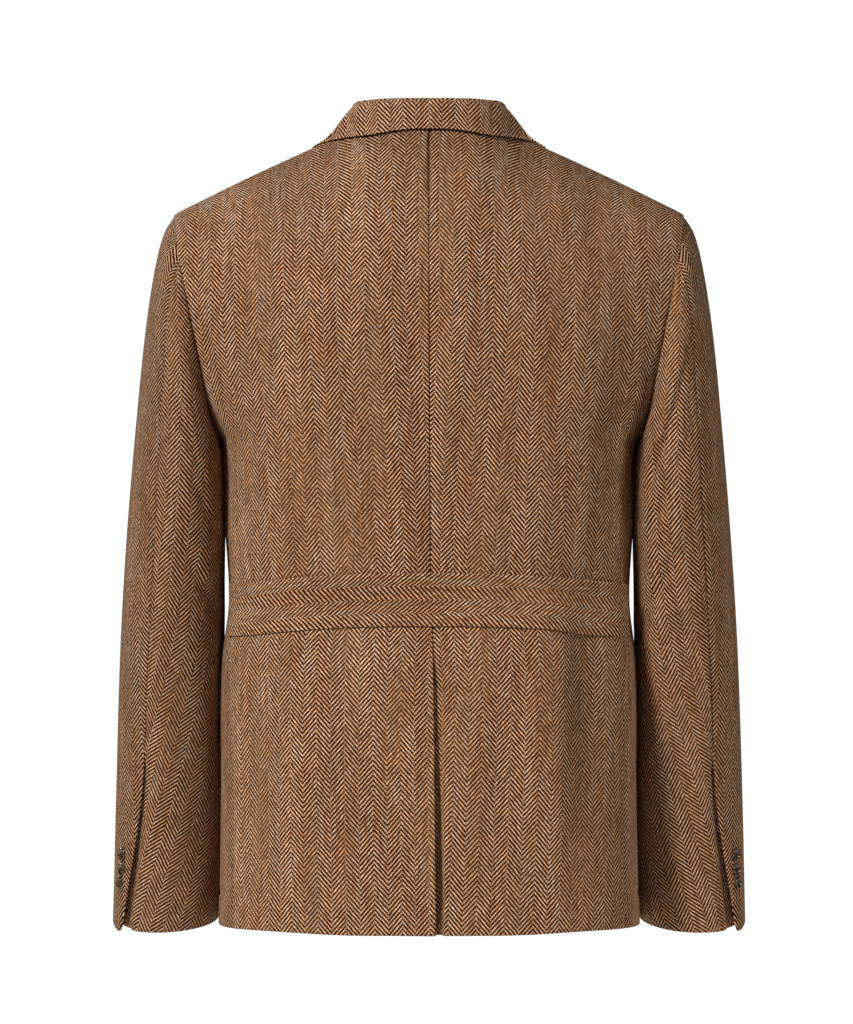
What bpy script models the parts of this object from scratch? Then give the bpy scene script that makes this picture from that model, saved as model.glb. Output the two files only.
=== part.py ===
"""Single-breasted sport coat with a half belt, filled out and hollow, as it hangs on a wearer.

The coat faces -Y, its back is towards +Y and its left side is +X. Every cloth piece is a wall
of its real thickness through sections worked out below. Sizes are in millimetres, heights are
measured from the floor-side reference line just under the hem, and the model is in metres with
its origin between the shoulders, where the wearer carries the coat.
"""
import math
from collections import namedtuple

import bpy
import numpy as np
from mathutils import Vector
from mathutils.bvhtree import BVHTree

for old in list(bpy.data.objects):
    bpy.data.objects.remove(old, do_unlink=True)

MM = 0.001
SHOULDER_LINE = 700.0

# Cloth walls and the gaps that part them
CLOTH = 2.0
SEAM_GAP = 0.4
SLEEVE_GAP = 0.5
LAY_GAP = 0.7
LAPEL_GAP = 1.5
LAPEL_ROLL = 1.6
STAND_GAP = 0.9
COLLAR_GAP = 1.8
SHOULDER_RIDGE = 1.2
# How far a wall is looked for round a point, and where a look from the front starts
TOUCHING = 12.0
AHEAD = -400.0

# Heights
HEM = 4.0
VENT_TOP = 213.0
VENT_STEP = 9.0
ARMPIT = 437.0
BREAK_POINT = 330.0
GORGE = 645.0
GORGE_LEVEL = 1.783
NECK_POINT = 705.0
CHEST_HEIGHT = 580.0

# Neck and armhole
NECK_X = 82.0
NECK_Y = 14.0
NECK_ROUND = 1.15
SHOULDER_TIP = np.array((227.0, -2.0, 635.0))
ARMPIT_POINT = np.array((189.0, -8.0, ARMPIT))
ARMHOLE_BACK = 66.0
ARMHOLE_FRONT = 72.0
ARMHOLE_SWELL_BACK = 1.6
ARMHOLE_SWELL_FRONT = -9.0

# Fronts
FRONT_LAP = 20.0
ROLL_SLOPE = 0.225
NECK_FLARE = NECK_X + FRONT_LAP - ROLL_SLOPE * (NECK_POINT - BREAK_POINT)
NECK_FLARE_START = 630.0
LAP_FADE = (45.0, 130.0)
CUTAWAY_WIDTH = 45.0
CUTAWAY_HEIGHT = 126.0

# Back vent
UNDERLAP = 36.0
UNDERLAP_SHARE = 0.022
VENT_DIP = 3.4
DIP_FADE = (14.0, 48.0)
DIP_END = 255.0
DRIFT_FADE = 60.0

# Half belt, higher at the middle than at the side seams
BELT_TOP = 319.0
BELT_BOTTOM = 272.0
BELT_END_DROP = 10.0
BELT_END = 0.985

# Rows and columns of the walls
BACK_NECK_COLUMNS = 5
SHOULDER_COLUMNS = 11
ARMHOLE_ROWS = 10
SLEEVE_COLUMNS = 10
SLEEVE_RINGS = 15
RING_CROWDING = 1.15

# Buttons
CUFF_BUTTON = 11.5
CUFF_BUTTON_LEAN = 0.3
FRONT_BUTTON = 20.0
BUTTON_SIDES = 16
CUFF_BUTTON_HEIGHTS = (73.0, 59.5, 46.5)
CUFF_BUTTON_ANGLES = (36.0, 36.0, 33.0)
FRONT_BUTTON_HEIGHTS = (316.0, 214.0)

# Sections of the body: level 0 is the hem, 1 the armpit, 2 the shoulder seam. "flat" and "round"
# are the powers of sine and cosine that square the section, "neck" blends in the neck's curve,
# "drop" is where along the half width the row starts to fall to the shoulder, and "seam" is the
# side seam's angle from the middle of the back.
BodyRow = namedtuple("BodyRow", "level height back_y edge_x edge_y flat round neck drop seam")
BODY = (
    BodyRow(0.000, 4, 126, 187.0, -2, 0.74, 0.80, 0.00, 0.00, 64),
    BodyRow(0.268, 120, 127, 184.6, -3, 0.74, 0.80, 0.00, 0.00, 66),
    BodyRow(0.540, 238, 120, 182.4, -4, 0.74, 0.80, 0.00, 0.00, 71),
    BodyRow(0.670, 294, 108, 178.4, -5, 0.74, 0.80, 0.00, 0.00, 77),
    BodyRow(0.836, 366, 115, 182.6, -6, 0.76, 0.82, 0.00, 0.00, 84),
    BodyRow(1.000, 437, 125, 189.0, -8, 0.80, 0.90, 0.00, 0.00, 90),
    BodyRow(1.250, 511, 131, None, None, 0.86, 1.35, 0.00, 0.05, 90),
    BodyRow(1.500, 583, 128, None, None, 0.92, 1.80, 0.06, 0.12, 90),
    BodyRow(1.750, 653, 104, None, None, 0.98, 2.20, 0.28, 0.20, 90),
    BodyRow(2.000, 716, 62, None, None, 1.00, 2.40, 1.00, 0.264, 90),
)

# The fronts' inner edge: the buttoning edge up to the break point, the roll line above it.
FrontRow = namedtuple("FrontRow", "level height inner_y flat round")
FRONT = (
    FrontRow(0.000, 4, -124, 0.74, 0.80),
    FrontRow(0.540, 238, -125, 0.74, 0.80),
    FrontRow(0.753, 330, -129, 0.74, 0.80),
    FrontRow(1.000, 437, -134, 0.80, 0.90),
    FrontRow(1.250, 501, -129, 0.86, 1.20),
    FrontRow(1.500, 568, -114, 0.92, 1.35),
    FrontRow(1.750, 636, -80, 0.98, 1.40),
    FrontRow(2.000, 705, 14, 1.00, 1.50),
)

# The left front stands out over the right one, most where the right lapel passes under it.
LapRow = namedtuple("LapRow", "height out")
LAP = (LapRow(0, 4.2), LapRow(290, 4.4), LapRow(350, 7.6), LapRow(440, 7.6), LapRow(530, 0.0),
       LapRow(720, 0.0))

# The middle seam of the back drifts towards the right as it goes down.
DriftRow = namedtuple("DriftRow", "height x")
DRIFT = (DriftRow(0, -6.0), DriftRow(250, -3.5), DriftRow(330, -1.2), DriftRow(560, 0.0),
         DriftRow(720, 0.0))

# The largest soft folds of the backs, as troughs down the cloth, and of the sleeves, as troughs
# round the arm. A trough has its middle, half its spread each way and its depth.
BackFold = namedtuple("BackFold", "is_left x height half_width half_height depth")
BACK_FOLDS = (
    BackFold(False, 139, 160, 18, 130, 3.0),
    BackFold(False, 96, 130, 20, 110, -1.6),
    BackFold(True, 150, 150, 20, 120, 2.4),
    BackFold(True, 168, 430, 16, 90, 2.6),
    BackFold(False, 170, 420, 15, 100, 3.0),
)
SleeveFold = namedtuple("SleeveFold", "angle down half_angle half_down depth")
SLEEVE_FOLDS = (
    SleeveFold(84, 0.20, 26, 0.055, 3.2),
    SleeveFold(112, 0.47, 34, 0.050, 3.0),
    SleeveFold(95, 0.62, 26, 0.050, 1.8),
    SleeveFold(-60, 0.52, 34, 0.055, 2.6),
)

# Sleeve rings, from the armhole (0) to the cuff (1). The ring spans from its outer to its inner
# point; "middle_y" and "depth" give it front to back, "tilt" lowers its back edge and "back_seam"
# and "front_seam" are the seams' angles from the outer point.
SleeveRow = namedtuple(
    "SleeveRow", "down outer_x outer_z inner_x inner_z middle_y depth tilt back_seam front_seam")
SLEEVE = (
    SleeveRow(0.00, 227.0, 635, 189.0, 437, -5, 69, 0, 54, -126),
    SleeveRow(0.03, 235.5, 621, 190.0, 425, -6, 75, 0, 56, -126),
    SleeveRow(0.09, 243.0, 594, 190.3, 404, -7, 79, -1, 59, -126),
    SleeveRow(0.20, 251.5, 543, 188.2, 372, -9, 80, -2, 63, -126),
    SleeveRow(0.34, 259.5, 470, 185.6, 330, -11, 77, -3, 65, -127),
    SleeveRow(0.52, 269.0, 360, 182.8, 262, -14, 68, -5, 65, -128),
    SleeveRow(0.68, 276.0, 250, 184.0, 190, -22, 58, -7, 64, -130),
    SleeveRow(0.84, 280.6, 128, 184.4, 105, -36, 50, -9, 61, -132),
    SleeveRow(1.00, 284.0, 4, 190.6, 10, -50, 45, -10, 42, -134),
)
VENT_TONGUE = 4.0
CUFF_SLIT = 1.4

# The collar from the middle of the back to its front end. "along" runs on the neck seam from the
# middle of the back (0) over the shoulder seam (0.5) to the gorge (1).
CollarRow = namedtuple("CollarRow", "along fold_x fold_y fold_z edge_x edge_y edge_z sag")
COLLAR = (
    CollarRow(0.00, 0, 64, 736.0, 0, 74, 710.0, 0),
    CollarRow(0.25, 39, 50, 736.5, 57, 60, 708.0, 0),
    CollarRow(0.50, 63, 20, 735.0, 103, 15, 699.0, 0),
    CollarRow(0.70, 66, -18, 714.0, 106, -13, 689.0, 0),
    CollarRow(0.86, 60, -52, 684.0, 108, -29, 681.0, -5),
    CollarRow(1.00, 54, -80, 654.0, 106, -42, 675.0, -18),
)
# How firmly each line of the fall lies on the cloth under it, from the fold to the edge
FALL_LIES = (0.0, 0.15, 0.5, 0.85, 1.0)
COLLAR_STATIONS = 15
STAND_INSET = 4.0
STAND_INSET_FADE = (0.55, 0.9)
COLLAR_BOW = 3.0
RIDGE_PLACE = 0.45
RIDGE_SPREAD = 0.1
FOLD_RADIUS = 3.2

# The lapel, from the break point (0) to the gorge (1)
LAPEL_TIP_X = 138.0
LAPEL_RISE = 312.0
LAPEL_BELLY = 0.82
LAPEL_ROWS = 11
LAPEL_COLUMNS = 5
LAPEL_START = 0.1
LAPEL_INSIDE = 0.4
LAPEL_LIFTS = (CHEST_HEIGHT - 20.0, GORGE - 15.0)
NOTCH_AT = 0.4
NOTCH_RISE = 8.0
NOTCH_FADE = 6

# Patch pocket: angles round the front from its inner edge, and heights
POCKET_ANGLES = (26.0, 76.0)
POCKET_HEIGHTS = (42.0, 237.0)
POCKET_COLUMNS = 8
POCKET_ROWS = 7
POCKET_CORNER = 22.0

Finish = namedtuple("Finish", "colour roughness")
TWEED = Finish((0.20, 0.105, 0.042, 1.0), 0.9)
HORN = Finish((0.035, 0.02, 0.012, 1.0), 0.35)


def ease(start, end, value):
    """Smooth step from 0 at start to 1 at end."""
    t = np.clip((value - start) / (end - start), 0.0, 1.0)
    return t * t * (3.0 - 2.0 * t)


def along(table, column, at):
    """Smooth curve through one column of a table, whose first column is the place."""
    rows = [row for row in table if getattr(row, column) is not None]
    places = [row[0] for row in rows]
    values = [getattr(row, column) for row in rows]
    last = len(rows) - 1
    i = min(max(sum(1 for place in places if place <= at) - 1, 0), last - 1)

    def slope(k):
        a, b = max(k - 1, 0), min(k + 1, last)
        return (values[b] - values[a]) / (places[b] - places[a])

    span = places[i + 1] - places[i]
    t = min(max((at - places[i]) / span, 0.0), 1.0)
    return (values[i] * (1 + 2 * t) * (1 - t) ** 2 + values[i + 1] * t * t * (3 - 2 * t)
            + span * (slope(i) * t * (1 - t) ** 2 + slope(i + 1) * t * t * (t - 1)))


def trough(offset):
    """Soft hollow, 1 at its middle and 0 from twice its half spread on."""
    return np.cos(np.clip(np.asarray(offset) / 2.0, -1.0, 1.0) * np.pi / 2) ** 2


def level_of(height):
    """Level of a height below the armpit."""
    return (height - HEM) / (ARMPIT - HEM)


def armhole(angle):
    """Point of the left armhole: 0 is the shoulder tip, 90 the back, 180 the armpit."""
    a = math.radians(angle)
    behind = math.sin(a) >= 0
    middle = (SHOULDER_TIP + ARMPIT_POINT) / 2
    half = (SHOULDER_TIP - ARMPIT_POINT) / 2
    point = middle + half * math.cos(a)
    point[0] += (ARMHOLE_SWELL_BACK if behind else ARMHOLE_SWELL_FRONT) * abs(math.sin(a))
    point[1] += (ARMHOLE_BACK if behind else ARMHOLE_FRONT) * math.sin(a)
    return point


def body_edge(level, behind):
    """Outermost point of the body at a level: its side, or the armhole above the armpit."""
    if level <= 1.0:
        return np.array((along(BODY, "edge_x", level), along(BODY, "edge_y", level),
                         along(BODY, "height", level)))
    angle = 180.0 * (2.0 - level)
    return armhole(angle if behind else -angle)


def side_seam(level):
    """Angle of the side seam from the middle of the back; at the armhole it is the very side."""
    return min(90.0, along(BODY, "seam", level))


def shoulder_drop(share, start):
    """How far a row has fallen from the middle's height to the armhole's, 0 to 1."""
    soft = 0.05

    def bend(p):
        return (np.sqrt((p - start) ** 2 + soft ** 2) + p - start) / 2

    return (bend(share) - bend(0.0)) / (bend(1.0) - bend(0.0))


def back_row(level, shares):
    """Points of the left back at a level, from its middle (0) to the side seam or armhole (1)."""
    edge = body_edge(level, True)
    neck = along(BODY, "neck", level)
    angle = np.radians(np.asarray(shares) * side_seam(level))
    share = np.sin(angle) ** along(BODY, "flat", level)
    neck_share = NECK_X / SHOULDER_TIP[0]
    rest = np.clip((share - neck_share) / (1 - neck_share), 0, 1)
    neck_part = (NECK_Y - SHOULDER_TIP[1]) / (BODY[-1].back_y - SHOULDER_TIP[1])
    neck_curve = (neck_part * (1 - rest)
                  + (1 - neck_part) * (1 - np.clip(share / neck_share, 0, 1) ** 2) ** NECK_ROUND)
    cosine = np.clip(np.cos(angle), 0.0, 1.0)
    depth = (1 - neck) * cosine ** along(BODY, "round", level) + neck * neck_curve
    height = along(BODY, "height", level)
    drop = shoulder_drop(share, along(BODY, "drop", level))
    return np.stack((edge[0] * share,
                     edge[1] + (along(BODY, "back_y", level) - edge[1]) * depth,
                     height + (edge[2] - height) * drop), axis=-1)


def front_edge_x(height):
    """How far the front's inner edge stands from the middle, towards its own side."""
    x = -FRONT_LAP + ROLL_SLOPE * max(0.0, height - BREAK_POINT)
    x += NECK_FLARE * ease(NECK_FLARE_START, NECK_POINT, height) ** 2
    corner = min(max((HEM + CUTAWAY_HEIGHT - height) / CUTAWAY_HEIGHT, 0.0), 1.0)
    return x + CUTAWAY_WIDTH * (1.0 - math.sqrt(1.0 - corner ** 2))


def front_row(level, shares):
    """Points of the left front at a level, from its inner edge (0) to the side seam or armhole."""
    edge = body_edge(level, False)
    neck = along(BODY, "neck", level)
    flat, power = along(FRONT, "flat", level), along(FRONT, "round", level)
    inner_z, inner_y = along(FRONT, "height", level), along(FRONT, "inner_y", level)
    inner_x = NECK_X if level == 2.0 else front_edge_x(inner_z)
    degrees = np.asarray(shares) * (180.0 - side_seam(level))
    angle = np.radians(degrees)
    sine = np.clip(np.sin(angle), 0.0, 1.0)
    cosine = np.abs(np.cos(angle))
    ahead = degrees <= 90.0
    share = sine ** flat
    x = np.where(ahead, inner_x + (edge[0] - inner_x) * share,
                 edge[0] * sine ** along(BODY, "flat", level))
    depth = np.where(ahead, (1 - neck) * cosine ** power + neck * (1 - share),
                     cosine ** along(BODY, "round", level))
    far_y = np.where(ahead, inner_y, along(BODY, "back_y", level))
    top_z = along(BODY, "height", level)
    seam_z = top_z + (edge[2] - top_z) * shoulder_drop(x / edge[0], along(BODY, "drop", level))
    own_z = inner_z + (edge[2] - inner_z) * np.where(ahead, share, 1.0)
    return np.stack((x, edge[1] + (far_y - edge[1]) * depth,
                     (1 - neck) * own_z + neck * seam_z), axis=-1)


def sleeve_ring(down, angles):
    """Points round the left sleeve at a place down its length; 0 degrees is the outer side."""
    if down == 0.0:
        return np.array([armhole(angle) for angle in angles])
    outer = np.array((along(SLEEVE, "outer_x", down), 0.0, along(SLEEVE, "outer_z", down)))
    inner = np.array((along(SLEEVE, "inner_x", down), 0.0, along(SLEEVE, "inner_z", down)))
    across = np.array((0.0, along(SLEEVE, "depth", down), along(SLEEVE, "tilt", down)))
    middle = (outer + inner) / 2 + np.array((0.0, along(SLEEVE, "middle_y", down), 0.0))
    turn = np.radians(np.asarray(angles))[:, None]
    spokes = (outer - inner) / 2 * np.cos(turn) + across * np.sin(turn)
    for fold in SLEEVE_FOLDS:
        off = (np.asarray(angles)[:, None] - fold.angle + 180.0) % 360.0 - 180.0
        share = trough(off / fold.half_angle) * trough((down - fold.down) / fold.half_down)
        spokes *= 1.0 - fold.depth / along(SLEEVE, "depth", down) * share
    return middle + spokes


def sleeve_downs():
    """Places of the sleeve's wall rings, closer together near the armhole."""
    return np.linspace(0.0, 1.0, SLEEVE_RINGS + 1) ** RING_CROWDING


def sleeve_down_at(height):
    """Place down the sleeve whose outer side is at a height."""
    downs = np.linspace(0.5, 1.0, 501)
    return min(downs, key=lambda down: abs(along(SLEEVE, "outer_z", down) - height))


def body_levels():
    """Levels of the wall rows, with a close pair at the top of the vent."""
    heights = np.concatenate((np.linspace(HEM, VENT_TOP, 7),
                              np.linspace(VENT_TOP + VENT_STEP, ARMPIT, 7)))
    below = [level_of(height) for height in heights]
    above = np.linspace(1.0, 2.0, ARMHOLE_ROWS + 1)[1:]
    return below[:-1] + [1.0] + list(above)


def back_shares():
    """Columns of a back: some on the neck curve, the rest on the shoulder seam."""
    neck_share = math.degrees(math.asin(NECK_X / SHOULDER_TIP[0])) / 90.0
    return np.concatenate((np.linspace(0.0, neck_share, BACK_NECK_COLUMNS + 1),
                           np.linspace(neck_share, 1.0, SHOULDER_COLUMNS + 1)[1:]))


def front_shares():
    """Columns of a front, which meet those of the back on the shoulder seam."""
    seam_x = SHOULDER_TIP[0] * np.sin(np.radians(90.0 * back_shares()[BACK_NECK_COLUMNS:]))
    share = np.clip((seam_x - NECK_X) / (SHOULDER_TIP[0] - NECK_X), 0.0, 1.0)
    return np.degrees(np.arcsin(share)) / 90.0


def back_grid(is_left):
    """Outer points of one back, on the left side whichever back it is."""
    shares = back_shares()
    if not is_left:
        shares = np.concatenate(((0.0, UNDERLAP_SHARE), shares[1:]))
    grid = np.array([back_row(level, shares) for level in body_levels()])
    for row in grid:
        height = row[0, 2]
        drift = along(DRIFT, "x", height) * (1.0 if is_left else -1.0)
        row[:, 0] += drift * (1.0 - ease(0.0, DRIFT_FADE, row[:, 0]))
        for fold in BACK_FOLDS:
            if fold.is_left == is_left:
                share = (trough((row[:, 0] - fold.x) / fold.half_width)
                         * trough((row[:, 2] - fold.height) / fold.half_height))
                row[:-1, 1] -= fold.depth * share[:-1]
        if is_left:
            continue
        dip = VENT_DIP * (1.0 - ease(VENT_TOP + VENT_STEP, DIP_END, height))
        row[:, 1] -= dip * (1.0 - ease(*DIP_FADE, row[:, 0]))
        if height < VENT_TOP + 1.0:
            row[0, 0] = -UNDERLAP
    return grid


def front_grid(is_left):
    """Outer points of one front, on the left side whichever front it is."""
    grid = np.array([front_row(level, front_shares()) for level in body_levels()])
    if is_left:
        for row in grid:
            near = 1.0 - ease(*LAP_FADE, row[:, 0])
            row[:, 1] -= along(LAP, "out", row[0, 2]) * near * (row[:, 1] < 0)
    return grid


def sleeve_grid(is_top):
    """Outer points of a top or under sleeve of the left arm, cuff last."""
    grid = []
    for down in sleeve_downs():
        back, front = along(SLEEVE, "back_seam", down), along(SLEEVE, "front_seam", down)
        ends = (front, back) if is_top else (back, front + 360.0)
        grid.append(sleeve_ring(down, np.linspace(ends[0], ends[1], SLEEVE_COLUMNS + 1)))
    grid = np.array(grid)
    if is_top:
        grid[-1, -2:, 2] -= VENT_TONGUE * np.array((0.4, 1.0))
    return grid


def grid_normals(grid, inside):
    """Unit normals of a grid of points, pointing away from the points in inside."""
    down_rows = np.gradient(grid, axis=0)
    across = np.gradient(grid, axis=1)
    normals = np.cross(down_rows, across)
    normals /= np.maximum(np.linalg.norm(normals, axis=-1, keepdims=True), 1e-9)
    if np.sum(normals * (grid - inside)) < 0:
        normals = -normals
    return normals


class Panel:
    """A cloth piece as a grid of outer points, their normals and the wall's thickness."""

    def __init__(self, name, family, grid, inside):
        self.name = name
        self.family = family
        self.outer = grid
        self.normals = grid_normals(grid, inside)
        self.stretch = np.ones(grid.shape[:2])

    def rim(self):
        """Row and column numbers of the grid's border."""
        rows, columns = self.outer.shape[:2]
        for r in range(rows):
            for c in range(columns):
                if r in (0, rows - 1) or c in (0, columns - 1):
                    yield r, c

    def inner(self):
        """Points of the wall's other side."""
        return self.outer - self.normals * (CLOTH * self.stretch)[..., None]


def share_seam_normals(panels):
    """Give points that meet at a seam one normal, so that the walls end on a common mitre."""
    meeting = {}
    for panel in panels:
        for r, c in panel.rim():
            key = tuple(np.round(panel.outer[r, c], 2))
            meeting.setdefault(key, []).append((panel, r, c))
    widest_mitre = 0.62
    for places in meeting.values():
        families = {}
        for panel, r, c in places:
            families.setdefault(panel.family, []).append(panel.normals[r, c])
        sides = []
        for normals in families.values():
            total = np.sum(normals, axis=0)
            sides.append(total / np.linalg.norm(total))
        total = np.sum(sides, axis=0)
        length = np.linalg.norm(total)
        for panel, r, c in places:
            panel.normals[r, c] = total / length
            panel.stretch[r, c] = 1.0 / max(widest_mitre, length / len(sides))


def pull_back(layer, edge, rows, distance):
    """Move an edge of a grid in along the cloth, so that a seam's two walls don't touch."""
    part = {"first_column": (layer[rows, 0], layer[rows, 1]),
            "last_column": (layer[rows, -1], layer[rows, -2]),
            "first_row": (layer[0], layer[1]), "last_row": (layer[-1], layer[-2])}[edge]
    move = part[1] - part[0]
    length = np.maximum(np.linalg.norm(move, axis=-1, keepdims=True), 1e-6)
    part[0][...] += move / length * distance


def make_material(name, finish):
    material = bpy.data.materials.new(name)
    material.use_nodes = True
    shader = material.node_tree.nodes["Principled BSDF"]
    shader.inputs["Base Color"].default_value = finish.colour
    shader.inputs["Roughness"].default_value = finish.roughness
    shader.inputs["Metallic"].default_value = 0.0
    return material


def make_object(name, points, faces, finish, mirrored=False):
    """A closed mesh object from points in millimetres, mirrored to the right side if asked."""
    points = np.array(points, dtype=float)
    points[:, 2] -= SHOULDER_LINE
    if mirrored:
        points[:, 0] *= -1.0
        faces = [face[::-1] for face in faces]
    mesh = bpy.data.meshes.new(name)
    mesh.from_pydata((points * MM).tolist(), [], faces)
    mesh.shade_smooth()
    mesh.set_sharp_from_angle(angle=math.radians(50.0))
    mesh.materials.append(make_material(name, finish))
    obj = bpy.data.objects.new(name, mesh)
    bpy.context.scene.collection.objects.link(obj)
    return obj


def wall_mesh(outer, inner):
    """Points and faces of a closed wall between two grids; outer's own side faces out."""
    rows, columns = outer.shape[:2]
    count = rows * columns
    faces = []
    for r in range(rows - 1):
        for c in range(columns - 1):
            a, b = r * columns + c, r * columns + c + 1
            d, e = a + columns, b + columns
            faces.append((a, b, e, d))
            faces.append((count + d, count + e, count + b, count + a))
    border = ([(0, c) for c in range(columns)] + [(r, columns - 1) for r in range(1, rows)]
              + [(rows - 1, c) for c in range(columns - 2, -1, -1)]
              + [(r, 0) for r in range(rows - 2, 0, -1)])
    ring = [r * columns + c for r, c in border]
    for a, b in zip(ring, ring[1:] + ring[:1]):
        faces.append((b, a, count + a, count + b))
    points = np.concatenate((outer.reshape(-1, 3), inner.reshape(-1, 3)))
    first, second, third = outer[0, 0], outer[0, 1], outer[1, 0]
    facing = np.cross(second - first, third - first)
    if np.dot(facing, outer[0, 0] - inner[0, 0]) < 0:
        faces = [face[::-1] for face in faces]
    return points, faces


def cloth(name, outer, inner, mirrored=False):
    """A cloth piece as an object."""
    points, faces = wall_mesh(outer, inner)
    return make_object(name, points, faces, TWEED, mirrored)


def tree_of(outer):
    """Search tree over the triangles of an outer grid."""
    rows, columns = outer.shape[:2]
    faces = []
    for r in range(rows - 1):
        for c in range(columns - 1):
            a = r * columns + c
            faces.append((a, a + 1, a + columns + 1, a + columns))
    return BVHTree.FromPolygons([Vector(p) for p in outer.reshape(-1, 3)], faces)


def nearest_outside(tree, point):
    """Nearest spot on a panel of the body and the panel's outward normal there."""
    spot, normal, _, _ = tree.find_nearest(Vector(point))
    if normal.dot(spot - Vector((0.0, 0.0, CHEST_HEIGHT))) < 0:
        normal = -normal
    return spot, normal


def laid_on(point, trees, need):
    """The point laid on the nearest panel in trees, standing off by need."""
    finds = [nearest_outside(tree, point) for tree in trees]
    spot, normal = min(finds, key=lambda find: (find[0] - Vector(point)).length)
    return np.array(spot + normal * need)


def clear_of(point, trees, need):
    """Move a point out until it stands clear of the panels in trees."""
    for tree in trees * 2:
        spot, normal = nearest_outside(tree, point)
        away = Vector(point) - spot
        if away.dot(normal) < need and away.length < TOUCHING + need:
            point = np.array(spot + normal * need)
    return point


def body_axis(grid):
    """Point inside the body for each grid point, at the same height."""
    axis = np.zeros_like(grid)
    axis[..., 2] = np.minimum(grid[..., 2], CHEST_HEIGHT)
    return axis


def sleeve_axis(grid):
    """Point inside the sleeve for each grid point."""
    axis = np.empty_like(grid)
    for ring, down in zip(axis, sleeve_downs()):
        ring[:] = np.mean(sleeve_ring(down, np.arange(0.0, 360.0, 30.0)), axis=0)
    return axis


def make_side(is_left):
    """Back, front and sleeve of one side, sewn together with shared seam normals."""
    side = "left" if is_left else "right"
    back, front = back_grid(is_left), front_grid(is_left)
    top, under = sleeve_grid(True), sleeve_grid(False)
    panels = {
        "back": Panel("back_" + side, "body", back, body_axis(back)),
        "front": Panel("front_" + side, "body", front, body_axis(front)),
        "top": Panel("top_sleeve_" + side, "sleeve", top, sleeve_axis(top)),
        "under": Panel("under_sleeve_" + side, "sleeve", under, sleeve_axis(under)),
    }
    middle = panels["back"].normals[:, 0]
    middle[:, 0] = 0.0
    middle /= np.linalg.norm(middle, axis=-1, keepdims=True)
    share_seam_normals(list(panels.values()))
    whole = slice(None)
    side_rows = slice(0, body_levels().index(1.0) + 1)
    sewn, arm = SEAM_GAP / 2, SLEEVE_GAP
    pulls = {
        "back": (("first_column", whole, sewn), ("last_column", side_rows, sewn),
                 ("last_row", whole, sewn)),
        "front": (("last_column", side_rows, sewn), ("last_row", whole, sewn)),
        "top": (("first_column", whole, arm), ("last_column", whole, arm)),
        "under": (("first_column", whole, arm), ("last_column", whole, arm),
                  ("first_column", slice(-2, None), CUFF_SLIT),
                  ("last_column", slice(0, 2), arm)),
    }
    for key, panel in panels.items():
        layers = (panel.outer, panel.inner())
        for layer in layers:
            for edge, rows, distance in pulls[key]:
                pull_back(layer, edge, rows, distance)
            if panel.family == "sleeve":
                layer[0] += np.array((SLEEVE_GAP, 0.0, -0.2 * SLEEVE_GAP))
        cloth(panel.name, layers[0], layers[1], not is_left)
        panel.outer = layers[0]
    return panels


def make_half_belt(left_back):
    """Belt laid across both backs, made from the left back's points on each side."""
    shares = back_shares()
    shares[-1] = BELT_END
    rows = []
    for up in np.linspace(0.0, 1.0, 3):
        line = []
        for share in shares:
            drop = BELT_END_DROP * ease(0.0, 1.0, share)
            height = BELT_BOTTOM + (BELT_TOP - BELT_BOTTOM) * up - drop
            line.append(back_row(level_of(height), [share])[0])
        rows.append(line)
    tree = tree_of(left_back.outer)
    half = np.array([[tree.find_nearest(Vector(point))[0] for point in line] for line in rows])
    half[:, 0, 0] = 0.0
    normals = grid_normals(half, body_axis(half))
    normals[:, 0] = (0.0, 1.0, 0.0)
    inner, outer = half + normals * LAY_GAP, half + normals * (LAY_GAP + CLOTH)
    mirror = np.array((-1.0, 1.0, 1.0))
    inner = np.concatenate((inner[:, :0:-1] * mirror, inner), axis=1)
    outer = np.concatenate((outer[:, :0:-1] * mirror, outer), axis=1)
    cloth("half_belt", outer, inner)


def lapel_grid():
    """Places of the lapel over the front, as points of the x-z plane."""
    grid = np.zeros((LAPEL_ROWS + 1, LAPEL_COLUMNS + 1, 3))
    for r, s in enumerate(np.linspace(LAPEL_START, 1.0, LAPEL_ROWS + 1)):
        roll_z = BREAK_POINT + (GORGE - BREAK_POINT) * s
        roll_x = front_edge_x(roll_z)
        edge_x = -FRONT_LAP + (LAPEL_TIP_X + FRONT_LAP) * s ** LAPEL_BELLY
        edge_z = BREAK_POINT + LAPEL_RISE * s
        for c, t in enumerate(np.linspace(0.0, 1.0, LAPEL_COLUMNS + 1)):
            notch = min(t / NOTCH_AT, (1.0 - t) / (1.0 - NOTCH_AT)) * s ** NOTCH_FADE
            grid[r, c] = (roll_x + (edge_x - roll_x) * t, 0.0,
                          roll_z + (edge_z - roll_z) * t + NOTCH_RISE * notch)
    return grid


def make_lapel(is_left, front):
    """Lapel turned back over its front: the front's points, moved out."""
    tree = tree_of(front.outer)
    places = lapel_grid()
    base = np.zeros_like(places)
    for r, c in np.ndindex(places.shape[:2]):
        x, _, z = places[r, c]
        inner_x = front_edge_x(z) + LAPEL_INSIDE
        start = Vector((max(x, inner_x), AHEAD, z))
        spot, _, _, _ = tree.ray_cast(start, Vector((0.0, 1.0, 0.0)))
        if spot is None:
            spot, _, _, _ = tree.find_nearest(Vector((start.x, base[r - 1, c][1], z)))
        base[r, c] = spot
    normals = grid_normals(base, body_axis(base))
    lift = LAPEL_GAP + LAPEL_ROLL * ease(*LAPEL_LIFTS, base[..., 2:])
    cloth("lapel_" + ("left" if is_left else "right"), base + normals * (lift + CLOTH),
          base + normals * lift, not is_left)


def neck_seam(share):
    """Point of the left half of the neck seam: back neck, then the front's inner edge."""
    if share <= 0.5:
        neck_share = math.degrees(math.asin(NECK_X / SHOULDER_TIP[0])) / 90.0
        return back_row(2.0, [share / 0.5 * neck_share])[0]
    return front_row(2.0 - (2.0 - GORGE_LEVEL) * (share - 0.5) / 0.5, [0.0])[0]


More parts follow.
